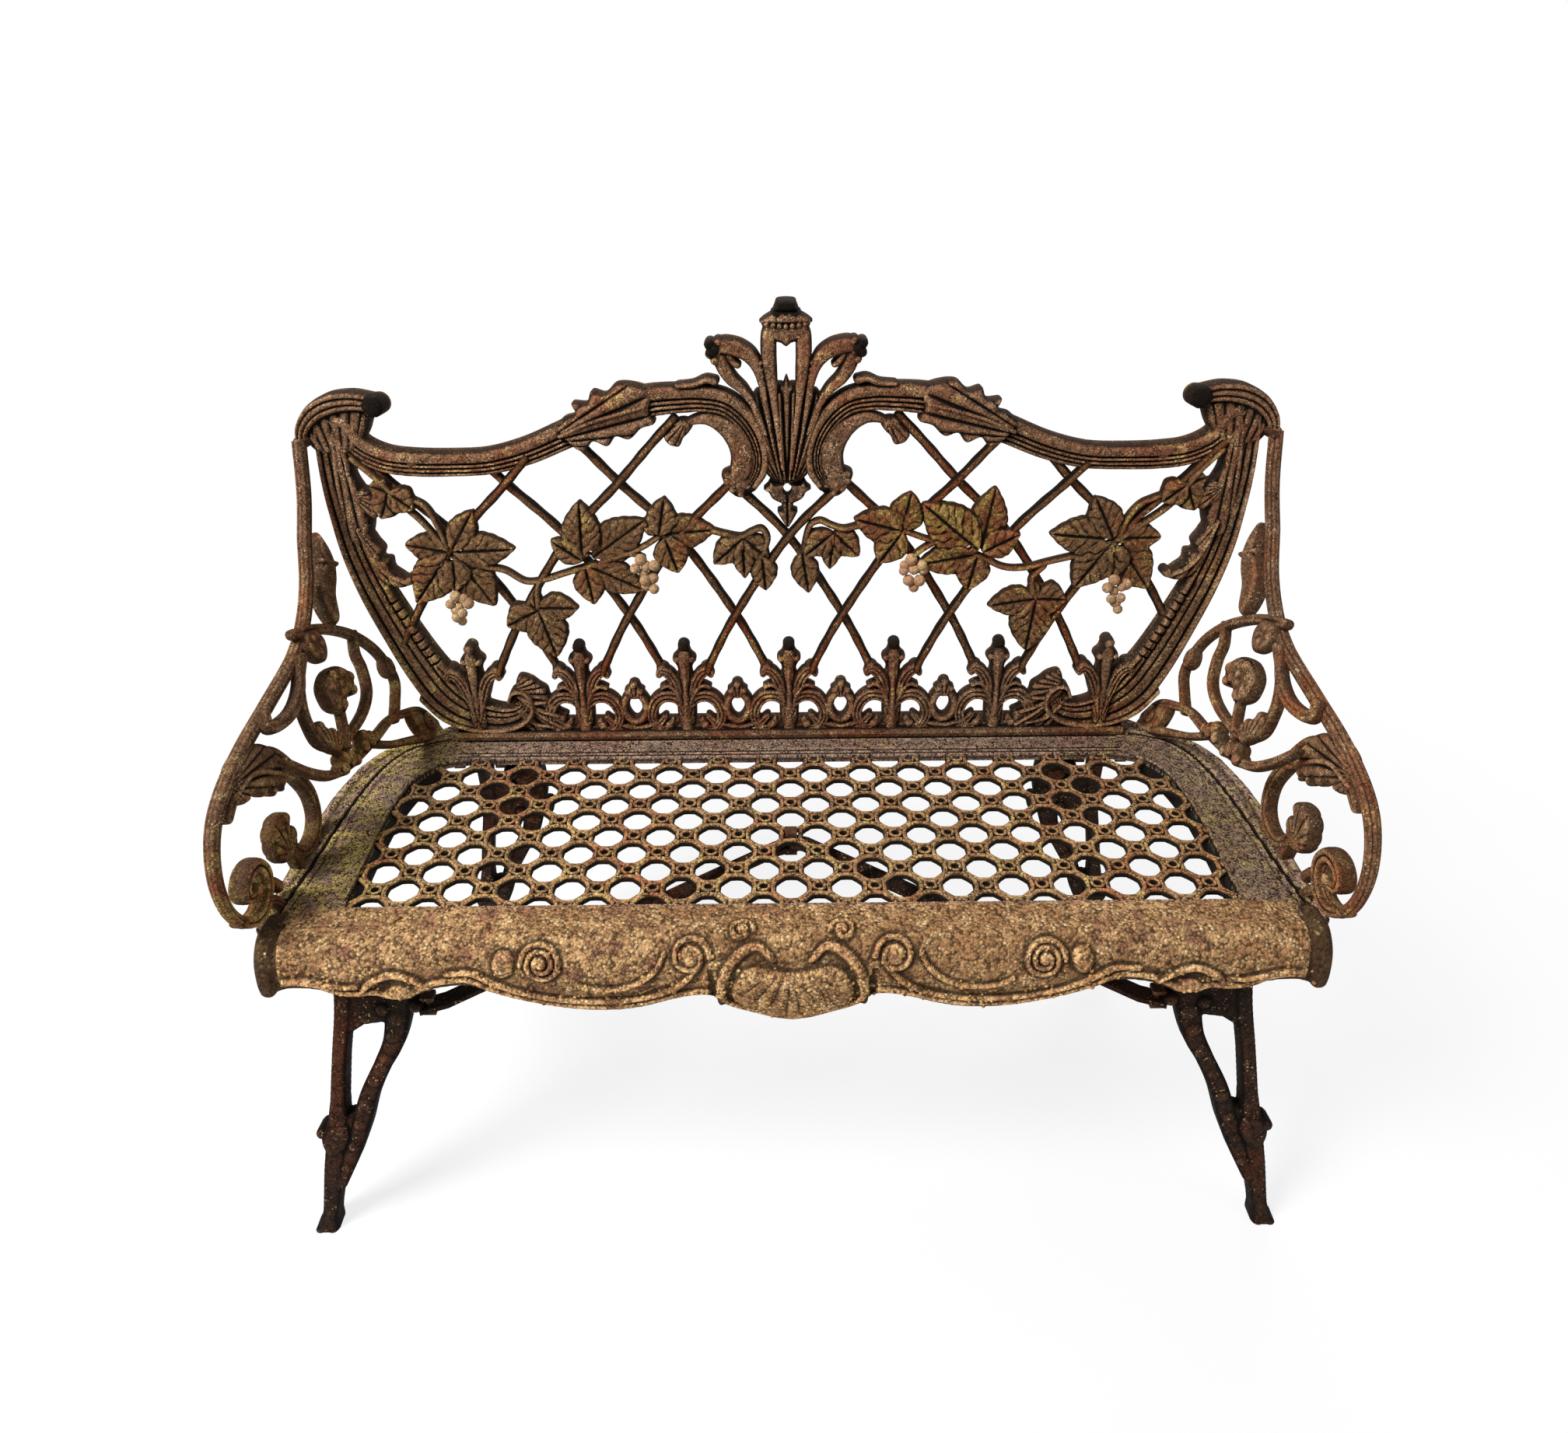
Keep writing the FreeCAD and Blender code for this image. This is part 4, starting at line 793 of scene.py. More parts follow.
def sweepTree():
    tree, given, result = newTree("barAlongPath", Width="Float", Height="Float", Reeds="Float",
                                  Groove="Float", Edge="Float", Side="Vector", Iron="Material")
    ring = addNode(tree, "GeometryNodeCurvePrimitiveCircle", {"Resolution": bar["facets"], "Radius": 0.5})
    turn = times(tree, addNode(tree, "GeometryNodeSplineParameter").outputs["Factor"], given["Reeds"])
    reed = calc(tree, "ABSOLUTE", calc(tree, "SINE", times(tree, turn, math.pi), 0.0), 0.0)
    cut = times(tree, calc(tree, "SUBTRACT", 1.0, reed), given["Groove"])
    full = calc(tree, "SUBTRACT", 1.0, cut)
    size = addNode(tree, "ShaderNodeCombineXYZ",
                   {"X": times(tree, given["Width"], full), "Y": times(tree, given["Height"], full)})
    spot = addNode(tree, "GeometryNodeInputPosition").outputs["Position"]
    place = addNode(tree, "ShaderNodeVectorMath", {0: spot, 1: size.outputs["Vector"]}, operation="MULTIPLY")
    # wear and painted light around the ring: painted shade in the reeds' grooves
    wornAndShaded = calc(tree, "SUBTRACT", bar["crownWearAndLight"], times(tree, cut, bar["grooveShade"]))
    shape = addNode(tree, "GeometryNodeSetPosition", {"Geometry": withWearAndPaintedLight(tree, ring.outputs["Curve"],
                                                                           wornAndShaded),
                                                      "Position": place.outputs["Vector"]})
    path = addNode(tree, "GeometryNodeMeshToCurve", {"Mesh": given["Geometry"]})
    feeds = {"Curve": path.outputs["Curve"], "Normal": given["Side"]}
    stand = addNode(tree, "GeometryNodeSetCurveNormal", feeds, mode="FREE")
    sweep = addNode(tree, "GeometryNodeCurveToMesh",
                    {"Curve": stand.outputs["Curve"], "Profile Curve": shape.outputs["Geometry"],
                     "Scale": attribute(tree, "girth"), "Fill Caps": True})
    # painted shade on the flanks: darker where a face turns away from Side, by Edge
    normal = addNode(tree, "GeometryNodeInputNormal").outputs["Normal"]
    facing = addNode(tree, "ShaderNodeVectorMath", {0: normal, 1: given["Side"]}, operation="DOT_PRODUCT")
    away = calc(tree, "SUBTRACT", 1.0, calc(tree, "ABSOLUTE", facing.outputs["Value"], 0.0))
    left = calc(tree, "SUBTRACT", attribute(tree, "wear"), times(tree, away, given["Edge"]))
    return finishTree(tree, withWearAndPaintedLight(tree, sweep.outputs["Mesh"], left), given["Iron"], result)


def crustTree():
    tree, given, result = newTree("lichenGrains", Density="Float", Least="Float", Most="Float", Seed="Int",
                                  Iron="Material")
    amount = times(tree, attribute(tree, "grow"), given["Density"])
    spread = addNode(tree, "GeometryNodeDistributePointsOnFaces",
                     {"Mesh": given["Geometry"], "Density": amount, "Seed": given["Seed"]})
    grain = addNode(tree, "GeometryNodeMeshIcoSphere", {"Radius": 1.0, "Subdivisions": 1})
    put = addNode(tree, "GeometryNodeInstanceOnPoints",
                  {"Points": spread.outputs["Points"], "Rotation": spread.outputs["Rotation"],
                   "Instance": grain.outputs["Mesh"], "Scale": randomSize(tree, given)})
    return finishTree(tree, put.outputs["Instances"], given["Iron"], result)


unitsOnPoints, barAlongPath, lichenGrains = unitsTree(), sweepTree(), crustTree()


def grown(name, base, tree, look, iron, replaced, **settings):
    holder = newObject(name + "Base", base)
    modifier = holder.modifiers.new("grow", "NODES")
    modifier.node_group = tree
    settings = dict(settings, Iron=iron)
    for socket in tree.interface.items_tree:
        if socket.in_out == "INPUT" and socket.name in settings:
            modifier[socket.identifier] = settings[socket.name]
    graph = bpy.context.evaluated_depsgraph_get()
    mesh = bpy.data.meshes.new_from_object(holder.evaluated_get(graph), depsgraph=graph)
    holder.modifiers.remove(modifier)
    bpy.data.objects.remove(holder)
    mesh.name = name
    keep(newObject(name, mesh), replaced)
    print(name, "grown:", len(mesh.polygons), "faces")


def pointCloud(points):
    return newMesh("places", points, [], [])


def paths(lines, girths):
    edges, start = [], 0
    for line in lines:
        edges += [(start + k, start + k + 1) for k in range(len(line) - 1)]
        start += len(line)
    mesh = newMesh("paths", np.vstack(lines), edges, [])
    markPoints(mesh, "girth", np.concatenate(girths))
    return mesh


def unitOf(name, points, faces, wear):
    mesh = newMesh(name, points, [], faces)
    markPoints(mesh, "wear", wear)
    return bpy.data.objects.new(name, mesh)


# Trellis: round bars in two layers, each from a lily to the frame

# flankShade darkens the bars' sides as painted shade
trellis = dict(width=14.0, depth=11.0, frontLayer=-4.0, rearLayer=4.0, reeds=3.0, groove=0.06, flankShade=0.5,
               steps=[(0.22, 92), (0.25, 104), (0.5, 168), (1.0, 268), (1.5, 335), (1.8, 378), (2.05, 412)])
stileMiddle = [(438, 62), (464, 98), (485, 140), (503, 190), (517, 245), (527, 300), (533, 345), (536, 380)]
railMiddle = [(0, 340), (62, 340), (70, 402), (98, 416), (128, 420), (178, 414), (212, 404), (255, 388),
              (300, 370), (345, 360), (390, 358), (435, 359), (466, 364), (492, 378), (520, 400)]


def trellisBars(side, layer):
    lines, girths = [], []
    for start in range(-4, 3):
        steps = trellis["steps"][:5] if start in (-2, -1) else trellis["steps"]
        line = smoothLine([((start + a) * bench["fleurPitch"], b) for a, b in steps], 7.0)[0]
        stileAt = np.interp(line[:, 1], [b for a, b in stileMiddle], [a for a, b in stileMiddle])
        railAt = np.interp(np.abs(line[:, 0]), [a for a, b in railMiddle], [b for a, b in railMiddle])
        line = line[(np.abs(line[:, 0]) < stileAt) & (line[:, 1] < railAt)]
        lines.append(onBack(np.column_stack([side * line[:, 0], line[:, 1], np.full(len(line), layer)])))
        girths.append(1.0 + 0.05 * np.sin(np.arange(len(line)) * 1.3 + start))
    return paths(lines, girths)


for name, side, layer in (("trellis_front_bars", 1, "frontLayer"), ("trellis_rear_bars", -1, "rearLayer")):
    grown(name[:-5] + "_rods", trellisBars(side, trellis[layer]), barAlongPath, "backIron",
          finish["rodIron"], (name,), Width=trellis["width"] * mm, Height=trellis["depth"] * mm,
          Reeds=trellis["reeds"], Groove=trellis["groove"], Edge=trellis["flankShade"], Side=(0.0, 1.0, 0.0))


# Gallery: lilies with scrolled feet, small crowns between them, and the moulded rail that they stand on

gallery = dict(step=1.3, front=-1.0, back=8.0, rise=10.0, lilies=(-2, -1, 0, 1, 2),
               crowns=(-1.5, -0.5, 0.5, 1.5), tip=122.0, tipDarkening=0.30, railHalf=430.0, railRows=60,
               railDepth=40.0)


def lilyUnit():
    panel = newPanel((-64, 0), (64, 140), gallery["step"])
    high = gallery["rise"]
    lily(panel, 0, 0, high)
    for side in (1, -1):
        foot = [(5, 46), (15, 56), (29, 57), (40, 48), (45, 33), (42, 19), (33, 11), (23, 14), (19, 22)]
        stroke(panel, onSide(side, foot), [12, 17, 18, 17, 15, 13, 12, 10, 8], high, reeds(3, 0.45))
        inner = [(6, 50), (13, 66), (22, 73), (31, 70)]
        stroke(panel, onSide(side, inner), [7, 8, 7, 5], high + 1, roundBar)
        disc(panel, side * 23, 17, 6.5, high + 2, 0.9)
        disc(panel, side * 36, 12, 5.5, high + 1, 0.9)
    stroke(panel, [(0, 4), (0, 30), (0, 70), (0, 104)], [20, 15, 9, 6], high + 2, roundBar)
    return panel


def crownUnit():
    panel = newPanel((-46, 0), (46, 86), gallery["step"])
    high = gallery["rise"]
    ring = [(-7, 60), (-13, 50), (-14, 38), (-8, 26), (0, 22), (8, 26), (14, 38), (13, 50), (7, 60)]
    stroke(panel, ring, [12, 12, 12, 12, 12, 12, 12, 12, 12], high, roundBar)
    boat = [(-38, 28), (-28, 18), (-14, 12), (0, 10), (14, 12), (28, 18), (38, 28)]
    stroke(panel, boat, [8, 12, 14, 14, 14, 12, 8], high - 1, reeds(2, 0.45))
    petal(panel, [(0, 80), (6, 77), (8, 71), (13, 67), (11, 59), (5, 54), (-5, 54), (-11, 59), (-13, 67),
                  (-8, 71), (-6, 77)], high + 1, fanned((0, 48), 17, 1.0, 5.0, 0.45))
    for a, b, radius in ((0, 74, 5.5), (8.5, 65, 4.5), (-8.5, 65, 4.5)):
        disc(panel, a, b, radius, high + 2, 0.85)
    return panel


def onBackUnit(points):
    return onBack(points) - onBack(np.zeros((1, 3)))


for name, panel, places in (("gallery_lilies", lilyUnit(), "lilies"),
                            ("gallery_crowns", crownUnit(), "crowns")):
    points, faces, wear = castPanel(panel, gallery["front"], gallery["back"])
    # darker at the tips of the lilies and crowns
    wear = np.where(points[:, 1] > gallery["tip"], np.minimum(wear, gallery["tipDarkening"]), wear)
    unit = unitOf(name + "Unit", onBackUnit(points), faces, wear)
    spots = onBack(np.array([(k * bench["fleurPitch"], 0.0, 0.0) for k in gallery[places]]))
    grown(name, pointCloud(spots), unitsOnPoints, "backIron", finish["backIron"],
          ("fleur_gallery",) if places == "lilies" else (), Unit=unit, Least=1.0, Most=1.0, Seed=1)
    bpy.data.objects.remove(unit)


def endLeaf():
    panel = newPanel((272, 0), (362, 96), gallery["step"])
    leaf = [(344, 88), (330, 86), (319, 77), (310, 70), (307, 58), (297, 50), (297, 40), (286, 33),
            (288, 22), (280, 14), (292, 6), (312, 9), (330, 6), (345, 16), (350, 40), (350, 70)]
    petal(panel, leaf, gallery["rise"], fanned((362, 66), 11, 1.0, 8.0, 0.5))
    for tip in ((292, 14), (298, 32), (312, 52)):
        stroke(panel, [(346, 62), ((346 + tip[0]) / 2, (62 + tip[1]) / 2 - 5), tip], [7, 8, 5],
               gallery["rise"] + 3, roundBar)
    stroke(panel, [(348, 40), (330, 22), (306, 16)], [8, 8, 6], gallery["rise"] + 2, roundBar)
    return panel


castPair(endLeaf(), ("gallery_right_leaf", "gallery_left_leaf"), "backIron", onBack, gallery["front"],
         gallery["back"], 0.0, [(), ()])


def footRail():
    outline = [(0, 0), (0, 3), (-6, 5), (-7, 10), (-4, 13), (1, 14), (3, 12.4), (6, 12.4), (8, 15),
               (14, 16), (38, 16), (40, 13), (40, 0)]
    count = len(outline)
    ends = np.linspace(-gallery["railHalf"], gallery["railHalf"], gallery["railRows"])
    front = seatRear - gallery["railDepth"]
    points = [(x, front + y, seatTop + z) for x in ends for y, z in outline]
    faces = sweptFaces(len(ends), count, len(ends) - 1, count)
    faces += [list(range(count)), [(len(ends) - 1) * count + i for i in reversed(range(count))]]
    # wear and painted light: painted shade in the groove behind the front bead, lighter on the tops
    wear = np.tile([0.3, 0.3, 0.45, 0.55, 0.5, 0.3, 0.12, 0.12, 0.4, 0.55, 0.5, 0.5, 0.4], len(ends))
    addPiece("gallery_rail", mm * np.array(points), faces, "backIron", (), wear)


footRail()


# Vines: lobed leaves on a running stem, with two bunches of grapes on each side

vine = dict(step=1.2, front=6.0, back=-3.0, rise=9.0, veins=13.0, stem=[9, 8, 8, 7], stemRise=7.0, berry=6.9,
            berryAt=-15.0, berrySpread=2.5)

# Each lobe has its base, its heading in degrees, its length and its width
leftLeaves = [((401, 258), -33, 58, 36), ((401, 256), -88, 75, 44), ((404, 255), 79, 54, 40),
              ((407, 251), 142, 76, 52), ((399, 250), -148, 76, 54), ((401, 250), 176, 44, 44),
              ((307, 183), -91, 50, 38), ((309, 179), 117, 44, 42), ((306, 179), -165, 64, 52),
              ((309, 183), 0, 24, 16), ((246, 246), -2, 71, 48), ((235, 246), -55, 82, 52),
              ((245, 243), 55, 46, 34), ((239, 236), -116, 74, 42), ((244, 236), -172, 50, 40),
              ((153, 273), -11, 48, 37), ((152, 275), -86, 67, 43), ((146, 271), -162, 47, 44),
              ((152, 275), 42, 26, 24), ((54, 269), 132, 48, 34), ((54, 269), -130, 41, 34),
              ((54, 269), -178, 51, 30), ((31, 247), -175, 45, 33), ((464, 329), 155, 36, 36),
              ((464, 329), -128, 34, 36), ((464, 329), 71, 24, 30)]
leftStems = [
    [(400, 245), (363, 236), (341, 231), (318, 217), (295, 219), (272, 226), (230, 239), (181, 255),
     (153, 271)],
    [(89, 278), (74, 274), (55, 271), (42, 277), (31, 280), (24, 268), (30, 248)],
    [(302, 217), (306, 200), (307, 183)],
    [(500, 368), (472, 340), (446, 308), (433, 294), (410, 262)],
    [(438, 319), (427, 313), (420, 303), (415, 289), (406, 262)],
    [(402, 246), (404, 220), (403, 204)],
    [(200, 252), (184, 250), (174, 246)]]
leftHoles = [(392, 257), (405, 246), (236, 254), (228, 243)]
leftGrapes = [(404, 201), (395, 197), (411, 192), (401, 189), (390, 192), (406, 184), (398, 180),
              (405, 175), (401, 168), (176, 245), (183, 235), (170, 237), (160, 238), (174, 228),
              (172, 220), (163, 221), (171, 212), (162, 209)]

rightLeaves = [((387, 264), -28, 58, 44), ((385, 264), -85, 74, 48), ((390, 264), 89, 55, 40),
               ((386, 260), -145, 70, 53), ((392, 260), 143, 76, 54), ((389, 258), 178, 46, 44),
               ((303, 189), -99, 60, 39), ((303, 189), 93, 37, 44), ((302, 188), -174, 69, 52),
               ((302, 189), -12, 25, 16), ((228, 251), -50, 91, 58), ((231, 252), 9, 77, 48),
               ((232, 249), 63, 50, 38), ((227, 246), -100, 73, 41), ((227, 246), -168, 47, 43),
               ((136, 276), -75, 60, 44), ((136, 278), 11, 46, 41), ((136, 276), -145, 49, 43),
               ((138, 276), 36, 38, 25), ((54, 275), -129, 45, 35), ((54, 275), 134, 44, 34),
               ((54, 275), -175, 47, 28), ((17, 250), 171, 52, 34), ((464, 329), 155, 36, 36),
               ((464, 329), -128, 34, 36), ((464, 329), 71, 24, 30)]
rightStems = [
    [(387, 259), (359, 244), (339, 241), (313, 235), (285, 228), (260, 229), (234, 241), (205, 254),
     (166, 265), (141, 274)],
    [(82, 282), (66, 279), (52, 283), (38, 289), (26, 282), (18, 252)],
    [(308, 230), (295, 213), (302, 189)],
    [(392, 262), (402, 289), (414, 305), (428, 312), (446, 319), (464, 329)],
    [(395, 263), (423, 283), (451, 306), (476, 342), (500, 368)],
    [(389, 258), (392, 232), (393, 216)],
    [(176, 262), (160, 252), (150, 243)]]
rightHoles = [(216, 255), (262, 240), (380, 262), (398, 256)]
rightGrapes = [(393, 214), (386, 204), (403, 205), (395, 199), (409, 207), (392, 190), (403, 191),
               (399, 184), (402, 176), (147, 242), (140, 234), (160, 235), (151, 230), (139, 228),
               (162, 229), (145, 216), (158, 216), (152, 206)]


def vinePanel(leaves, stems, holes):
    panel = newPanel((0, 112), (512, 372), vine["step"])
    for line in stems:
        stroke(panel, line, vine["stem"], vine["stemRise"], roundBar)
    for k, (base, turn, length, wide) in enumerate(leaves):
        rise = vine["rise"] * (0.80 + 0.20 * math.sin(2.7 * k))
        leafLobe(panel, base, turn, length, wide, rise, vine["veins"])
    for a, b in holes:
        pierce(panel, [(a + 3.4, b), (a, b + 2.6), (a - 3.4, b), (a, b - 2.6)])
    return panel


def berry():
    bpy.ops.mesh.primitive_ico_sphere_add(subdivisions=2, radius=vine["berry"] * mm)
    return bpy.context.object


for name, side, drawing, bunches in (("left_vine", -1, (leftLeaves, leftStems, leftHoles), leftGrapes),
                                     ("right_vine", 1, (rightLeaves, rightStems, rightHoles), rightGrapes)):
    points, faces, wear = castPanel(vinePanel(*drawing), vine["front"], vine["back"])
    points = onBack(points)
    if side < 0:
        points, faces = mirrored(points, faces)
    addPiece(name + "_casting", points, faces, "vineIron", (name,), wear)
    print(name, "cast:", len(faces), "faces")
    depths = [vine["berryAt"] + vine["berrySpread"] * math.sin(5.0 * a + 3.0 * b) for a, b in bunches]
    spots = onBack(np.column_stack([onSide(side, bunches), depths]))
    unit = berry()
    grown(name + "_grapes", pointCloud(spots), unitsOnPoints, "vineIron", plainFinish["grapeIron"], (),
          Unit=unit, Least=0.85, Most=1.1, Seed=7)
    bpy.data.objects.remove(unit)


# Arms: a reeded rail that ends in a spiral, the leafy front scroll and the leaning rear scrolls

# edge: the scrolls' outline walls get this painted shade
arm = dict(step=1.2, frontHalf=3.0, frontRise=5.0, rearHalf=2.5, rearRise=4.0, rearBase=467.0,
           rearLean=math.radians(20.0), origin=seatRear - 118.0, rail=18.0, reeds=9.0, groove=0.16,
           edge=0.40)
armLine = [(107, 391), (86, 336), (58, 292), (28, 247), (-14, 215), (-60, 200), (-139, 190), (-205, 182),
           (-255, 170), (-288, 154), (-308, 130), (-318, 98), (-314, 62), (-296, 34), (-270, 28),
           (-250, 44), (-254, 68), (-276, 76), (-288, 58), (-276, 46)]


def armRail(side):
    line, place = smoothLine(armLine, 6.0)
    girth = np.interp(place, [0, 4, 8, 12, 15, 19], [0.9, 0.92, 0.9, 0.76, 0.7, 0.5])
    x = side * (bench["armX"] + np.interp(place, [0, 2, 5], [7.0, 7.0, 0.0]))
    rail = mm * np.column_stack([x, arm["origin"] + line[:, 0], seatTop + line[:, 1]])
    neck = smoothLine([(-262, 30), (-240, 12), (-228, -10), (-226, -26)], 6.0)[0]
    x = np.full(len(neck), side * bench["armX"])
    neckAt = mm * np.column_stack([x, arm["origin"] + neck[:, 0], seatTop + neck[:, 1]])
    return paths([rail, neckAt], [girth, np.linspace(0.7, 1.0, len(neck))])


def onArm(points):
    return mm * np.column_stack([bench["armX"] - points[:, 2], arm["origin"] + points[:, 0],
                                 seatTop + points[:, 1]])


def onLeaningArm(points):
    a, b, deep = points[:, 0], points[:, 1], points[:, 2]
    tip = arm["rearLean"]
    return mm * np.column_stack([arm["rearBase"] + b * math.sin(tip) - deep * math.cos(tip),
                                 arm["origin"] + a, seatTop + b * math.cos(tip) + deep * math.sin(tip)])


for name, side in (("right_arm_rail", 1), ("left_arm_rail", -1)):
    grown(name + "_bar", armRail(side), barAlongPath, "armIron", finish["armIron"], (name,),
          Width=arm["rail"] * mm, Height=arm["rail"] * mm, Reeds=arm["reeds"], Groove=arm["groove"],
          Edge=0.0, Side=(1.0, 0.0, 0.0))


def frontScroll():
    panel = newPanel((-330, -34), (-86, 210), arm["step"])
    high = arm["frontRise"]
    line = [(-272, 146), (-238, 164), (-200, 162), (-168, 148), (-147, 126), (-129, 96), (-110, 58),
            (-110, 28), (-124, 12), (-146, 8), (-166, 18), (-180, 40), (-186, 62)]
    stroke(panel, line, [12, 18, 22, 20, 18, 17, 16, 15, 15, 15, 14, 13, 10], high, reeds(2, 0.4))
    heart = [(-182, 84), (-168, 72), (-176, 62), (-166, 54), (-170, 38), (-188, 28), (-208, 36), (-218, 54),
             (-214, 76), (-200, 86)]
    petal(panel, heart, high + 2, fanned((-194, 40), 24, 1.0, 9.0, 0.35))
    leaf = [(-262, 158), (-240, 180), (-212, 184), (-188, 176), (-168, 160), (-146, 124), (-132, 96),
            (-146, 98), (-152, 108), (-166, 100), (-172, 112), (-186, 108), (-190, 122), (-206, 122),
            (-214, 138), (-238, 138)]
    petal(panel, leaf, high + 2, fanned((-262, 174), 10, 1.0, 8.0, 0.45))
    stroke(panel, [(-256, 160), (-216, 158), (-176, 132), (-146, 104)], [6, 8, 7, 5], high + 4, roundBar)
    stroke(panel, [(-180, 30), (-172, 6), (-166, -26)], [12, 16, 24], high, softBar)
    stroke(panel, [(-120, 10), (-136, -8), (-150, -26)], [10, 14, 20], high, softBar)
    curl = [(-304, 40), (-288, 28), (-268, 25), (-250, 36), (-244, 55), (-254, 72), (-272, 76), (-286, 68),
            (-286, 56), (-276, 52)]
    stroke(panel, curl, [10, 13, 15, 16, 17, 17, 16, 14, 12, 10], high + 2, reeds(2, 0.5))
    disc(panel, -269, 54, 7.0, high + 5, 0.8)
    stroke(panel, [(-252, 40), (-236, 34), (-226, 20)], [12, 12, 14], high, roundBar)
    return panel


def rearScroll():
    panel = newPanel((-200, -14), (122, 300), arm["step"])
    high = arm["rearRise"]
    bars = [([(-40, 236), (-4, 222), (28, 204), (61, 177), (84, 144), (90, 112), (84, 92), (60, 78),
              (34, 66)],
             [12, 12, 11, 11, 10, 9, 9, 9, 10]),
            ([(64, 178), (44, 160), (38, 142), (20, 120), (-12, 110), (-58, 110), (-96, 117), (-117, 138),
              (-114, 160), (-104, 178), (-84, 196), (-52, 212)],
             [8, 9, 10, 10, 10, 10, 11, 11, 10, 10, 10, 10]),
            ([(-182, 160), (-178, 152), (-160, 127), (-134, 104), (-99, 92), (-59, 84), (-23, 78), (25, 72),
              (60, 58), (92, 38), (106, 8)],
             [6, 8, 10, 11, 12, 12, 11, 10, 11, 14, 18]),
            ([(-60, 214), (-88, 194), (-121, 185), (-152, 188), (-170, 196), (-164, 208)],
             [11, 13, 14, 14, 14, 11])]
    for line, widths in bars:
        stroke(panel, line, widths, high, reeds(2, 0.3))
    bulb = [(113, 295), (98, 284), (86, 269), (58, 257), (40, 243), (33, 222), (36, 205), (50, 206),
            (70, 226), (92, 238), (108, 252), (116, 272)]
    petal(panel, bulb, high + 4, pillow(9.0))
    stroke(panel, [(84, 268), (108, 252)], [8, 8], high + 5, roundBar)
    curl = [(-32, 230), (-44, 214), (-36, 196), (-22, 188), (-8, 194), (0, 208), (-8, 224)]
    petal(panel, curl, high + 2, pillow(9.0))
    for a, b in ((-34, 214), (-24, 202), (-14, 206), (-22, 218)):
        disc(panel, a, b, 6.0, high + 4, 0.7)
    rosette = [(-60, 174), (-36, 182), (-10, 174), (4, 156), (-2, 142), (-16, 136), (-30, 140), (-44, 132),
               (-58, 138), (-68, 152)]
    petal(panel, rosette, high + 4, pillow(14.0))
    for a, b in ((-48, 166), (-32, 172), (-16, 166), (-5, 154), (-20, 150), (-38, 152), (-54, 152),
                 (-30, 160), (-46, 142), (-14, 142)):
        disc(panel, a, b, 7.0, high + 6, 0.6)
    stroke(panel, [(-52, 134), (-66, 118), (-80, 106)], [10, 11, 12], high, roundBar)
    ringLeaf = [(-122, 146), (-108, 156), (-96, 152), (-94, 140), (-84, 134), (-84, 116), (-104, 112)]
    petal(panel, ringLeaf, high + 2, fanned((-112, 112), 16, 1.0, 6.0, 0.45))
    for a, b, radius in ((-112, 96, 8), (-102, 102, 9), (-92, 96, 10), (-84, 88, 7), (-56, 88, 8),
                         (-46, 94, 9), (-38, 86, 10), (-28, 82, 7)):
        disc(panel, a, b, radius, high + 4, 0.7)
    budLeaf = [(98, 118), (90, 128), (78, 122), (74, 110), (82, 100), (94, 104)]
    petal(panel, budLeaf, high + 2, pillow(6.0))
    stroke(panel, [(-34, 76), (-4, 54), (28, 36), (60, 18), (98, -2)], [9, 9, 10, 12, 16], high, roundBar)
    petal(panel, [(64, 50), (86, 42), (104, 22), (114, -6), (92, -10), (72, 8), (60, 26)], high + 1,
          pillow(9.0))
    disc(panel, 92, 22, 13.0, high + 5, 0.7)
    return panel


castPair(frontScroll(), ("right_arm_front_scroll", "left_arm_front_scroll"), "armIron", onArm,
         arm["frontHalf"], arm["frontHalf"], 1.0, None, arm["edge"])
castPair(rearScroll(), ("right_arm_rear_scroll", "left_arm_rear_scroll"), "armIron", onLeaningArm,
         arm["rearHalf"], arm["rearHalf"], 1.0, None, arm["edge"])


# Seat: raised border with a skirt and two dark lips below it for painted shade, and a lattice of cast rings

seat = dict(step=2.3, rise=3.2, thick=6.0, pitch=60.0, hole=16.4, corner=6.2, hubY=seatRear - 238.0,
            halfLattice=500.0, front=seatFront + 27.0, rear=seatRear - 86.0, skirtFoot=-28.0, skirtWall=8.0,
            lipFoot=-30.0, lipWall=6.0, lipShade=0.2, roundFrom=60.0, roundShare=0.7, web=5.2, dot=3.8,
            dotWeb=5.0)


def inPlan(points):
    return mm * np.column_stack([points[:, 0], points[:, 1], seatTop - points[:, 2]])


def seatEdge():
    side = smoothLine([(548, seatFront), (548, -110), (548, -38), (545, 40), (533, 104)], 8.0)[0]
    corner = smoothLine([(533, 104), (513, 140), (480, 164), (430, seatRear)], 8.0)[0]
    return [tuple(p) for p in np.vstack([side, corner[1:]])]


def seatWindow():
    window = [(0, seat["front"]), (300, seat["front"]), (462, seat["front"]), (472, seat["front"] + 6),
              (474, -110), (475, -60), (475, -30), (474, 13), (470, 48), (461, 84), (441, 110), (407, 120),
              (380, seat["rear"]), (200, seat["rear"]), (0, seat["rear"])]
    return [tuple(p) for p in smoothLine(window, 6.0)[0]]


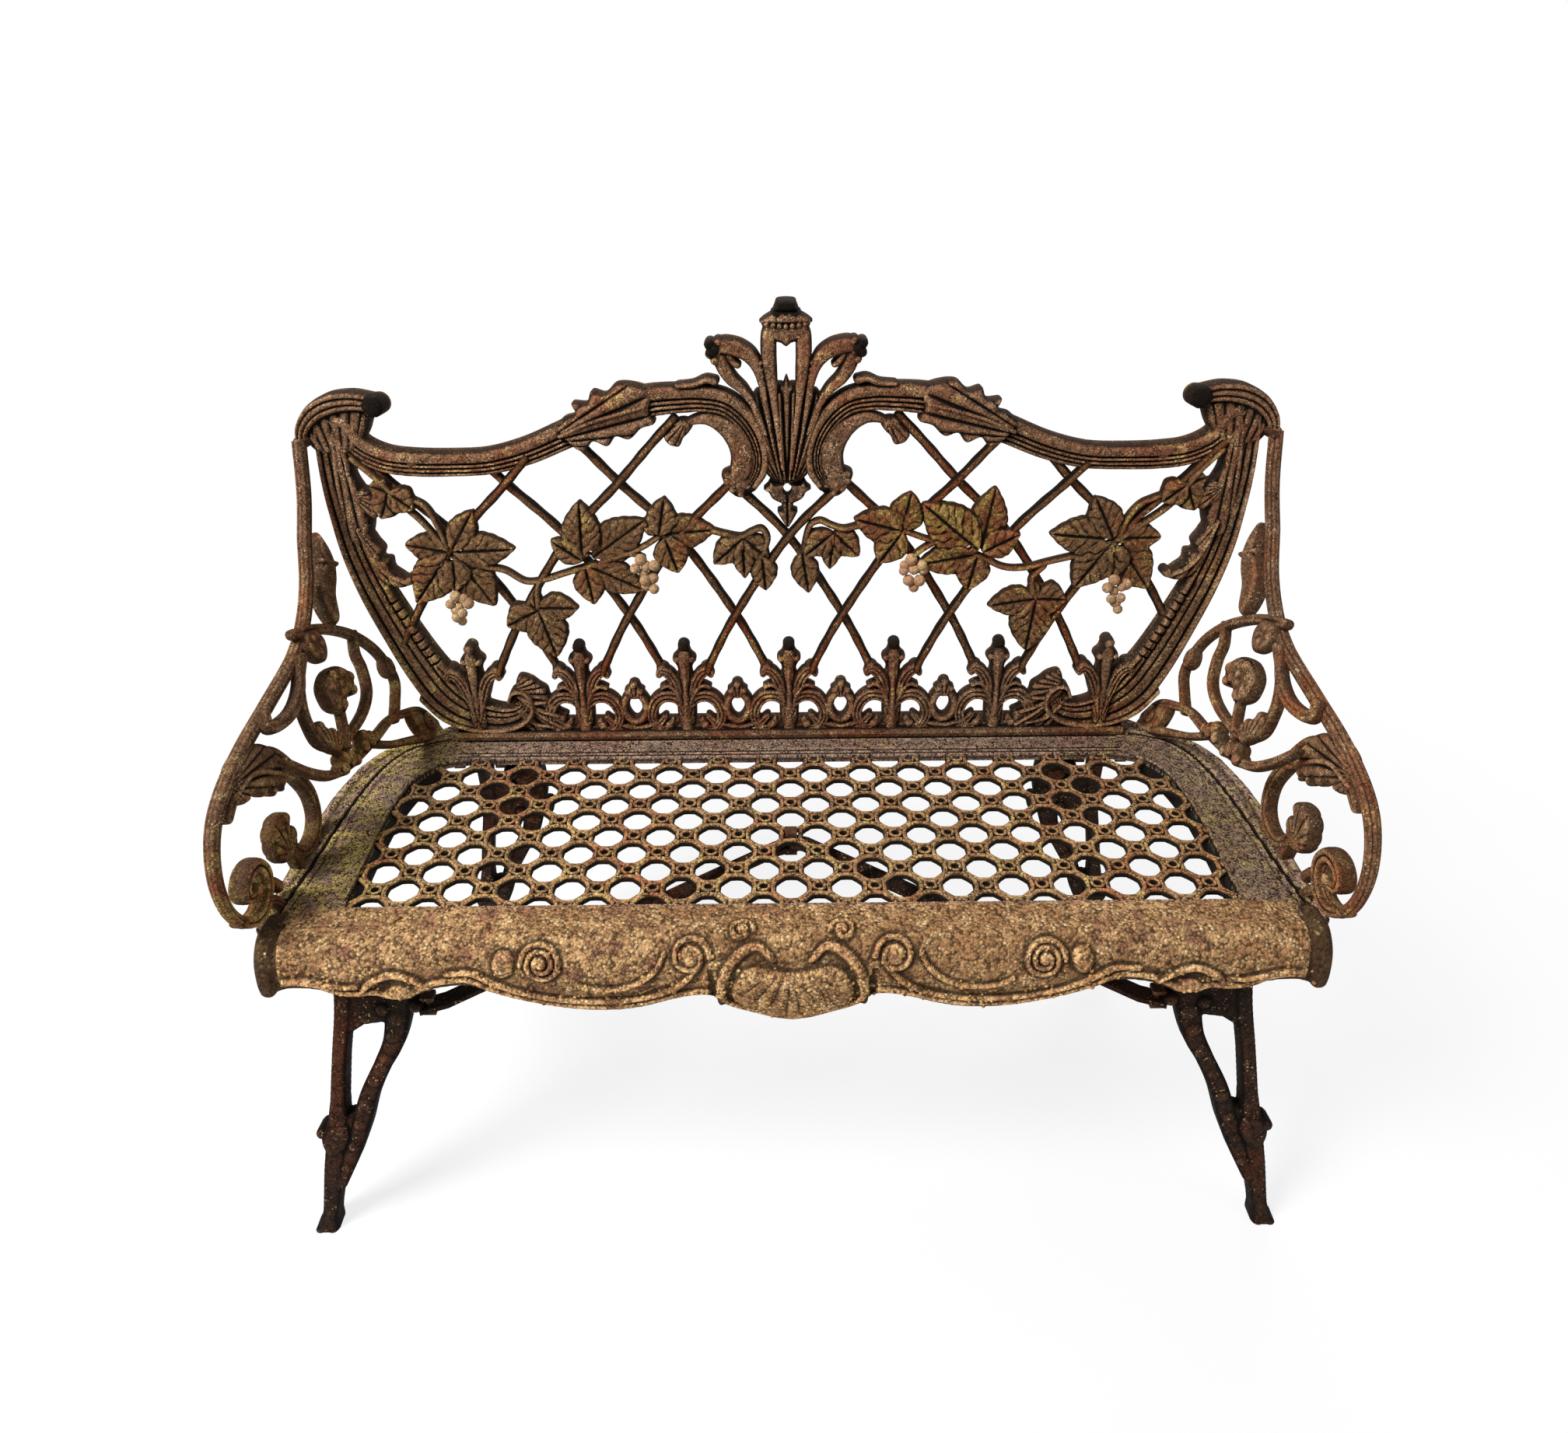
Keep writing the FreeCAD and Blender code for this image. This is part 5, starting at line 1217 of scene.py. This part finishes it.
def seatBorder():
    panel = newPanel((-558, seatFront - 4), (558, seatRear + 4), seat["step"])
    half = seatEdge()
    petal(panel, bothHalves(half), seat["rise"], pillow(3.0), False)
    edge = seatWindow()
    groove = [(441, 167), (462, 160), (486, 147), (503, 122), (514, 88), (522, 41), (528, -25), (533, -97),
              (537, -134), (540, -168)]
    for sign in (1, -1):
        stroke(panel, onSide(sign, half), [14, 14], seat["rise"] + 2.2, roundBar)
        stroke(panel, onSide(sign, edge), [8, 8], seat["rise"] + 1.2, roundBar)
        carve(panel, onSide(sign, groove), [5, 5], 3.4)
        carve(panel, onSide(sign, moved(groove, -10, -3)), [3.0, 3.0], 1.0)
    for b, wide, deep in ((seat["rear"] + 7, 3.0, 2.2), (seat["rear"] + 13, 3.0, 1.6),
                          (seat["rear"] + 41, 4.0, 2.6)):
        carve(panel, [(-420, b), (420, b)], [wide, wide], deep)
    pierce(panel, bothHalves(edge[1:-1]), False)
    return panel


def wallUnder(line, closed, foot, wide):
    edge = np.array(line)
    ahead = np.roll(edge, -1, 0) - np.roll(edge, 1, 0)
    if not closed:
        ahead[0], ahead[-1] = edge[1] - edge[0], edge[-1] - edge[-2]
    inward = np.column_stack([-ahead[:, 1], ahead[:, 0]]) / np.linalg.norm(ahead, axis=1)[:, None]
    inner = edge + wide * inward
    rows = [(edge, 1.0), (inner, 1.0), (inner, foot), (edge, foot)]
    points = np.vstack([np.column_stack([row, np.full(len(row), seatTop + z)]) for row, z in rows])
    count = len(edge)
    faces = sweptFaces(len(rows), count, len(rows), count if closed else count - 1)
    if not closed:
        faces += [[r * count for r in reversed(range(4))], [r * count + count - 1 for r in range(4)]]
    if wide > 0:
        faces = [face[::-1] for face in faces]           # so that the faces point outwards
    return mm * points, faces


def skirtWall():
    walls = [wallUnder(bothHalves(seatEdge()), True, seat["skirtFoot"], seat["skirtWall"])]
    lip = [(a, b) for a, b in seatWindow() if a > 440 and -150 < b < 112]
    walls.append(wallUnder(lip, False, seat["lipFoot"], -seat["lipWall"]))
    walls.append(wallUnder(onSide(-1, lip[::-1]), False, seat["lipFoot"], -seat["lipWall"]))
    points, faces = [], []
    for spots, around in walls:
        start = sum(len(row) for row in points)
        faces += [[k + start for k in face] for face in around]
        points.append(spots)
    wear = np.full(sum(len(row) for row in points), seat["lipShade"])     # painted shade: the lips are dark, as the shade under the seat seen through the half holes
    wear[:len(points[0])] = patinaAndShade["middle"]
    return np.vstack(points), faces, wear


points, faces, wear = castPanel(seatBorder(), 0.0, seat["thick"])
addPiece("seat_border", inPlan(points), faces, "seatIron", ("seat_plate",), wear)
points, faces, wear = skirtWall()
addPiece("seat_skirt", points, faces, "seatIron", (), wear)
print("seat border cast")


def latticePlaces():
    holes, dots = [], []
    for row in range(-4, 6):
        y = seat["hubY"] + row * seat["pitch"] / 2
        offset = seat["pitch"] / 2 if row % 2 == 0 else 0.0
        for column in range(-9, 9):
            x = column * seat["pitch"] + offset
            # The border's rear corners are round
            inset = max(0.0, y - seat["roundFrom"]) * seat["roundShare"]
            if abs(x) <= seat["halfLattice"] - inset:
                holes.append((x, y, seatTop))
            dotX = x + seat["pitch"] / 2
            hub = row == 0 and abs(dotX) < 1
            if abs(dotX) <= seat["halfLattice"] - inset and not hub:
                dots.append((dotX, y, seatTop))
    return mm * np.array(holes), mm * np.array(dots)


def ringUnit(name, ring, wide, section):
    points, wear = [], []
    for x, y in ring:
        for share, rise, wornAndShaded in section:
            grow = 1 + share * wide / math.hypot(x, y)
            points.append((x * grow * mm, y * grow * mm, rise * mm))
            wear.append(wornAndShaded)
    count, around = len(section), len(ring)
    faces = sweptFaces(around, count, around, count)
    return unitOf(name, points, [face[::-1] for face in faces], wear)


def octagonRing():
    half, corner = seat["hole"], seat["corner"]
    ends = [(half, -corner), (half, corner), (corner, half), (-corner, half), (-half, corner),
            (-half, -corner), (-corner, -half), (corner, -half)]
    ring = []
    for p, q in zip(ends, ends[1:] + ends[:1]):
        ring += [(0.97 * p[0], 0.97 * p[1]), ((p[0] + q[0]) / 2, (p[1] + q[1]) / 2)]
    return ring


def dotRing():
    radius = seat["dot"]
    return [(radius * math.cos(k * math.pi / 6), radius * math.sin(k * math.pi / 6)) for k in range(12)]


# Ring sections: share of the width outwards, height, and wear with painted light: painted shade down in the
# hole, painted highlight on the web
webSection = [(0.0, -6.5, 0.1), (0.0, -3.4, 0.12), (0.14, -2.0, 0.30), (0.42, -0.8, 0.5), (0.75, -0.2, 0.6),
              (1.06, 0.0, 0.6), (1.06, -6.5, 0.3)]
dotSection = [(0.0, -6.5, 0.1), (0.0, -1.2, 0.15), (0.16, 0.4, 0.45), (0.5, 1.2, 0.62), (0.84, 0.4, 0.42),
              (1.0, -1.0, 0.16), (1.0, -6.5, 0.2)]
holePlaces, dotPlaces = latticePlaces()
for name, ring, wide, section, places in (
        ("seat_lattice_rings", octagonRing(), seat["web"], webSection, holePlaces),
        ("seat_dot_rings", dotRing(), seat["dotWeb"], dotSection, dotPlaces)):
    unit = ringUnit(name + "Unit", ring, wide, section)
    grown(name, pointCloud(places), unitsOnPoints, "seatIron", finish["latticeIron"], (), Unit=unit,
          Least=0.985, Most=1.015, Seed=3)
    bpy.data.objects.remove(unit)


# Apron: rolled front with paired spirals, a ribbed shell in the middle and a crust of lichen

apron = dict(step=2.0, wall=9.0, body=2.0, half=546.0, nose=51.0, endRim=529.0, lip=6.5, lipTop=-60.0,
             lipShade=0.25)
apronSection = smoothLine([(27, 2.0), (10, 2.4), (0, 2.2), (-18, 1.5), (-34, -14), (-40, -40), (-36, -70),
                           (-29, -126)], 1.0)[0]
apronRun = np.concatenate([[0.0], np.cumsum(np.linalg.norm(np.diff(apronSection, axis=0), axis=1))])
apronHeading = np.gradient(apronSection, axis=0)
apronHeading /= np.linalg.norm(apronHeading, axis=1)[:, None]


def fall(z):
    front = apronRun > apron["nose"]                     # past the nose, where the roll turns down
    return -float(np.interp(-z, -apronSection[front, 1], apronRun[front]))


def onApron(points):
    run = np.clip(-points[:, 1], 0.0, apronRun[-1])
    y, z = [np.interp(run, apronRun, apronSection[:, k]) for k in (0, 1)]
    ty, tz = [np.interp(run, apronRun, apronHeading[:, k]) for k in (0, 1)]
    out = -points[:, 2]
    return mm * np.column_stack([points[:, 0], seatFront + y + tz * out, seatTop + z - ty * out])


def spiral(panel, a, b, radius, turns, sign, rise):
    angles = np.linspace(0, turns * 2 * math.pi, int(10 * turns))
    reach = np.linspace(radius, 0.22 * radius, len(angles))
    line = [(a + sign * r * math.cos(t), b + r * math.sin(t)) for r, t in zip(reach, angles)]
    stroke(panel, line, [6.5, 5.0], rise, roundBar)


def apronPanel():
    panel = newPanel((-apron["half"] - 2, -184), (apron["half"] + 2, 4), apron["step"])
    edge = [(0, -108), (17, -105), (42, -95), (67, -83), (80, -68), (90, -64), (104, -65), (125, -71),
            (151, -81), (176, -87), (210, -88), (243, -83), (275, -73), (306, -58), (330, -45), (350, -45),
            (372, -50), (390, -60), (410, -66), (430, -60), (452, -62), (470, -58), (487, -49), (515, -46),
            (532, -52), (545, -60)]
    lower = [(a, fall(b)) for a, b in edge]
    outline = smoothLine(lower, 4.0)[0].tolist()
    body = outline + [(548, -87), (548, -47), (546, -24), (534, -4), (490, 0)]
    petal(panel, bothHalves(body), apron["body"], pillow(5.0), False)
    for sign in (1, -1):
        def at(*points):
            return onSide(sign, points)
        bead = [(a, b + 10.0) for a, b in outline if a < 520]
        stroke(panel, onSide(sign, bead), [8, 8], 6.5, roundBar)
        rim = at((352, fall(-28)), (328, fall(-27)), (304, fall(-40)), (272, fall(-56)), (240, fall(-66)),
                 (208, fall(-70)), (178, fall(-69)), (146, fall(-61)), (116, fall(-44)), (96, fall(-22)))
        stroke(panel, rim, [6, 8, 8, 8, 8, 8, 8, 8, 8, 6], 6.8, roundBar)
        inner = at((226, fall(-38)), (212, fall(-46)), (186, fall(-49)), (160, fall(-42)), (140, fall(-26)),
                   (130, fall(-10)))
        stroke(panel, inner, [4, 6, 7, 7, 6, 4], 6.6, roundBar)
        spiral(panel, sign * 256, -73, 21, 2.4, sign, 6.8)
        disc(panel, sign * 256, -73, 5.5, 8.0, 0.8)
        spiral(panel, sign * 104, -67, 20, 1.7, -sign, 6.8)
        disc(panel, sign * 104, -67, 8.5, 7.0, 0.4)
        petal(panel, at((282, -69), (289, -85), (300, -87), (306, -73), (299, -59), (288, -59)), 7.0,
              pillow(7.0))
        spiral(panel, sign * 52, -41, 13, 1.4, -sign, 6.2)
        disc(panel, sign * 52, -41, 5.0, 7.0, 0.8)
        leafEdge = at((444, fall(-50)), (430, fall(-36)), (408, fall(-28)), (388, fall(-34)),
                      (372, fall(-44)))
        stroke(panel, leafEdge, [6, 8, 9, 8, 6], 7.5, roundBar)
        petal(panel, at((424, fall(-56)), (414, fall(-42)), (398, fall(-41)), (386, fall(-54)),
                        (404, fall(-62))), 8.0, pillow(8.0))
        stroke(panel, at((520, fall(-34)), (496, fall(-34)), (466, fall(-42)), (446, fall(-42))),
               [5, 7, 7, 6], 6.5, roundBar)
        stroke(panel, at((538, -20), (539, -60), (540, -104)), [17, 17, 17], 7.0, roundBar)
        carve(panel, at((526, -8), (527, -60), (528, -104)), [5, 5, 5], 6.0)
        arch = at((74, fall(-72)), (73, fall(-46)), (66, fall(-24)), (50, fall(-9)), (34, fall(-6)),
                  (20, fall(-16)))
        stroke(panel, arch, [9, 11, 12, 11, 9, 6], 7.4, roundBar)
        carve(panel, at((84, fall(-30)), (82, fall(-56))), [7, 9], 9.0)
    shell = [(0, fall(-104)), (28, fall(-97)), (52, fall(-82)), (64, fall(-60)), (58, fall(-34)),
             (40, fall(-22)), (0, fall(-28))]
    petal(panel, bothHalves(shell), 8.4, fanned((0, fall(-8)), 14, 1.0, 12.0, 0.26))
    return panel


def nearest(places, values):
    return np.clip(np.rint((values - places[0]) / apron["step"]).astype(int), 0, len(places) - 1)


apronCast = apronPanel()
points, faces, wear = castPanel(apronCast, 0.0, apron["wall"])
endRims = np.abs(points[:, 0]) > apron["endRim"]         # darker at the end rims; the lower lip gets painted shade
wear = np.where(endRims, np.minimum(wear, patinaAndShade["nearBlack"]), wear)
column, row = nearest(apronCast["across"], points[:, 0]), nearest(apronCast["up"], points[:, 1])
apronInside = apronCast["inside"][column, row]
# painted shade along the lower lip, where the roll turns under
lowerLip = (apronInside < apron["lip"]) & (points[:, 1] < apron["lipTop"])
wear = np.where(lowerLip, np.minimum(wear, apron["lipShade"]), wear)
addPiece("front_apron_casting", onApron(points), faces, "apronIron", ("front_apron",), wear)
print("apron cast:", len(faces), "faces")


# Lichen grows low down and in the middle, in patches
def crustBase(points, faces, inside):
    count = len(points) // 2
    outside = [face for face in faces if max(face) < count]
    mesh = newMesh("crustBase", onApron(points[:count]), [], outside)
    a, b = points[:count, 0], points[:count, 1]
    low = np.clip((-b - 67) / 60, 0.12, 1.0)
    middle = np.exp(-(a / 120)**2)
    patch = 0.5 + 0.5 * np.sin(a / 31.0) * np.sin(b / 17.0 + a / 57.0)
    grow = np.clip(low * (0.35 + 0.65 * patch) + 0.5 * middle * low, 0, 1)
    markPoints(mesh, "grow", grow * np.clip((inside[:count] - apron["lip"]) / 6.0, 0.02, 1.0))
    return mesh


grown("apron_lichen", crustBase(points, faces, apronInside), lichenGrains, "apronIron",
      plainFinish["lichen"], (), Density=20000.0, Least=0.0010, Most=0.0028, Seed=5)


# Legs: a plain outer prong and a knobbly inner one that meet at a knuckle above the foot

leg = dict(step=1.6, half=8.5, rise=4.5, top=408.0, splay=math.radians(9.0), frontY=seatFront + 15.0,
           rearY=seatRear - 44.0, rearInset=80.0, overlap=4.0)


def legPanel():
    panel = newPanel((396, -424), (586, 2), leg["step"])
    high = leg["rise"]
    outer = [(480, 0), (487, -81), (504, -163), (515, -220), (524, -267), (538, -326), (551, -384),
             (561, -424)]
    stroke(panel, outer, [19, 17, 16, 17, 24, 22, 18, 20], high, softBar)
    inner = [(422, 0), (421, -50), (426, -83), (439, -135), (457, -170), (479, -213), (495, -257),
             (513, -300), (532, -344)]
    stroke(panel, inner, [34, 33, 30, 23, 19, 20, 21, 20, 14], high, roundBar)
    web = [(500, -240), (524, -256), (536, -300), (546, -350), (530, -344), (512, -300), (498, -262)]
    petal(panel, web, high - 2, pillow(6.0))
    for a, b, radius in ((408, -88, 8), (444, -92, 8), (424, -60, 12), (430, -104, 11), (438, -128, 9),
                         (450, -158, 9), (468, -190, 8), (482, -222, 9), (494, -252, 8), (506, -284, 8),
                         (520, -318, 7), (430, -30, 14), (446, -20, 10)):
        disc(panel, a, b, radius, high + 3, 0.9)
    petal(panel, [(512, -252), (532, -256), (543, -276), (537, -300), (520, -292), (508, -272)], high + 3,
          pillow(10.0))
    disc(panel, 540, -266, 7, high + 3, 0.9)
    petal(panel, [(548, -372), (562, -394), (573, -424), (549, -424), (545, -402)], high + 2, pillow(8.0))
    disc(panel, 567, -417, 7, high + 3, 0.9)
    disc(panel, 553, -418, 7, high + 3, 0.9)
    petal(panel, [(424, -40), (490, -40), (498, -150), (484, -124), (468, -113), (448, -110), (428, -116)],
          high - 2, pillow(6.0), False)
    return panel


def onFrontLeg(points):
    return legAt(points, -leg["splay"], leg["frontY"], 0.0)


def onRearLeg(points):
    return legAt(points, leg["splay"], leg["rearY"], leg["rearInset"])


def legAt(points, splay, y, inset):
    up = leg["top"] + points[:, 2] * math.sin(splay) + points[:, 1] * math.cos(splay)
    ahead = y + points[:, 2] * math.cos(splay) - points[:, 1] * math.sin(splay)
    return mm * np.column_stack([points[:, 0] - inset, ahead, np.clip(up, 0.0, leg["top"] + leg["overlap"])])


legCast = legPanel()
castPair(legCast, ("front_right_leg", "front_left_leg"), "legIron", onFrontLeg, leg["half"], leg["half"],
         1.0)
castPair(legCast, ("rear_right_leg", "rear_left_leg"), "legIron", onRearLeg, leg["half"], leg["half"], 1.0)


# Nodes that stay as they are get their finish
nodeFinish = {part["node"]: part["material_slot"] for part in frame["record"]["subparts"]}
slotFinish = {slot: name for name, slot in slotOf.items()}
for name, node in frame["nodes"].items():
    node.data.materials.clear()
    node.data.materials.append(plainFinish[slotFinish[nodeFinish[name]]])
print("frame nodes painted")


# Floor, light and camera

stage = dict(floor=40.0, floorTone=(0.86, 0.86, 0.86, 1), shadowReach=(0.5, 1.7), shadowShare=0.78,
             world=0.23, aim=(0.0, 0.0, 0.55))
lamps = dict(keyLight=((-1.9, -1.25, 3.05), 1.3, 160.0), fillLight=((1.9, -1.2, 2.1), 1.8, 10.0),
             rimLight=((0.4, 1.9, 2.6), 1.4, 30.0))
camera = dict(place=(-0.003, -1.026, 1.222), tiltUp=57.55, roll=-0.68, yaw=0.19, lens=25.29, sensor=36.0)


def seenRays(tree):
    path = addNode(tree, "ShaderNodeLightPath")
    seen = calc(tree, "MAXIMUM", path.outputs["Is Camera Ray"], path.outputs["Is Glossy Ray"])
    return calc(tree, "MAXIMUM", seen, path.outputs["Is Transmission Ray"])


def paleFloor():
    bpy.ops.mesh.primitive_plane_add(size=stage["floor"])
    floor = bpy.context.object
    floor.name = "floor"
    material = bpy.data.materials.new("paleFloor")
    material.use_nodes = True
    tree = material.node_tree
    white = addNode(tree, "ShaderNodeEmission", {"Color": (1, 1, 1, 1)})
    where = addNode(tree, "ShaderNodeTexCoord").outputs["Object"]
    away = addNode(tree, "ShaderNodeVectorMath", {0: where}, operation="LENGTH").outputs["Value"]
    clear = mapped(tree, away, stage["shadowReach"], (stage["shadowShare"], 1.0), "SMOOTHSTEP")
    plain = tree.nodes["Principled BSDF"]
    feed(tree, plain.inputs["Base Color"], stage["floorTone"])
    feeds = {"Fac": times(tree, seenRays(tree), clear), 1: plain.outputs["BSDF"],
             2: white.outputs["Emission"]}
    mix = addNode(tree, "ShaderNodeMixShader", feeds)
    feed(tree, tree.nodes["Material Output"].inputs["Surface"], mix.outputs["Shader"])
    floor.data.materials.append(material)


def softBox(name, place, size, power):
    light = bpy.data.lights.new(name, "AREA")
    light.shape = "DISK"
    light.size = size
    light.energy = power
    lamp = newObject(name, light)
    lamp.location = place
    lamp.rotation_euler = (Vector(place) - Vector(stage["aim"])).to_track_quat("Z", "Y").to_euler()


def whiteWorld():
    world = bpy.data.worlds.new("studio")
    bpy.context.scene.world = world
    world.use_nodes = True
    tree = world.node_tree
    level = mapped(tree, seenRays(tree), (0.0, 1.0), (stage["world"], 1.0))
    feed(tree, tree.nodes["Background"].inputs["Strength"], level)
    feed(tree, tree.nodes["Background"].inputs["Color"], (1, 1, 1, 1))


def photoCamera():
    data = bpy.data.cameras.new("photoCamera")
    data.lens = camera["lens"]
    data.sensor_width = camera["sensor"]
    data.sensor_fit = "HORIZONTAL"
    data.clip_start = 0.05
    eye = newObject("photoCamera", data)
    turn = [Matrix.Rotation(math.radians(camera[key]), 4, axis)
            for key, axis in (("yaw", "Z"), ("tiltUp", "X"), ("roll", "Z"))]
    eye.matrix_world = Matrix.Translation(camera["place"]) @ turn[0] @ turn[1] @ turn[2]
    bpy.context.scene.camera = eye


paleFloor()
whiteWorld()
for name, (place, size, power) in lamps.items():
    softBox(name, place, size, power)
photoCamera()
bpy.context.scene.view_settings.view_transform = "Standard"
print("floor, lights and camera set")
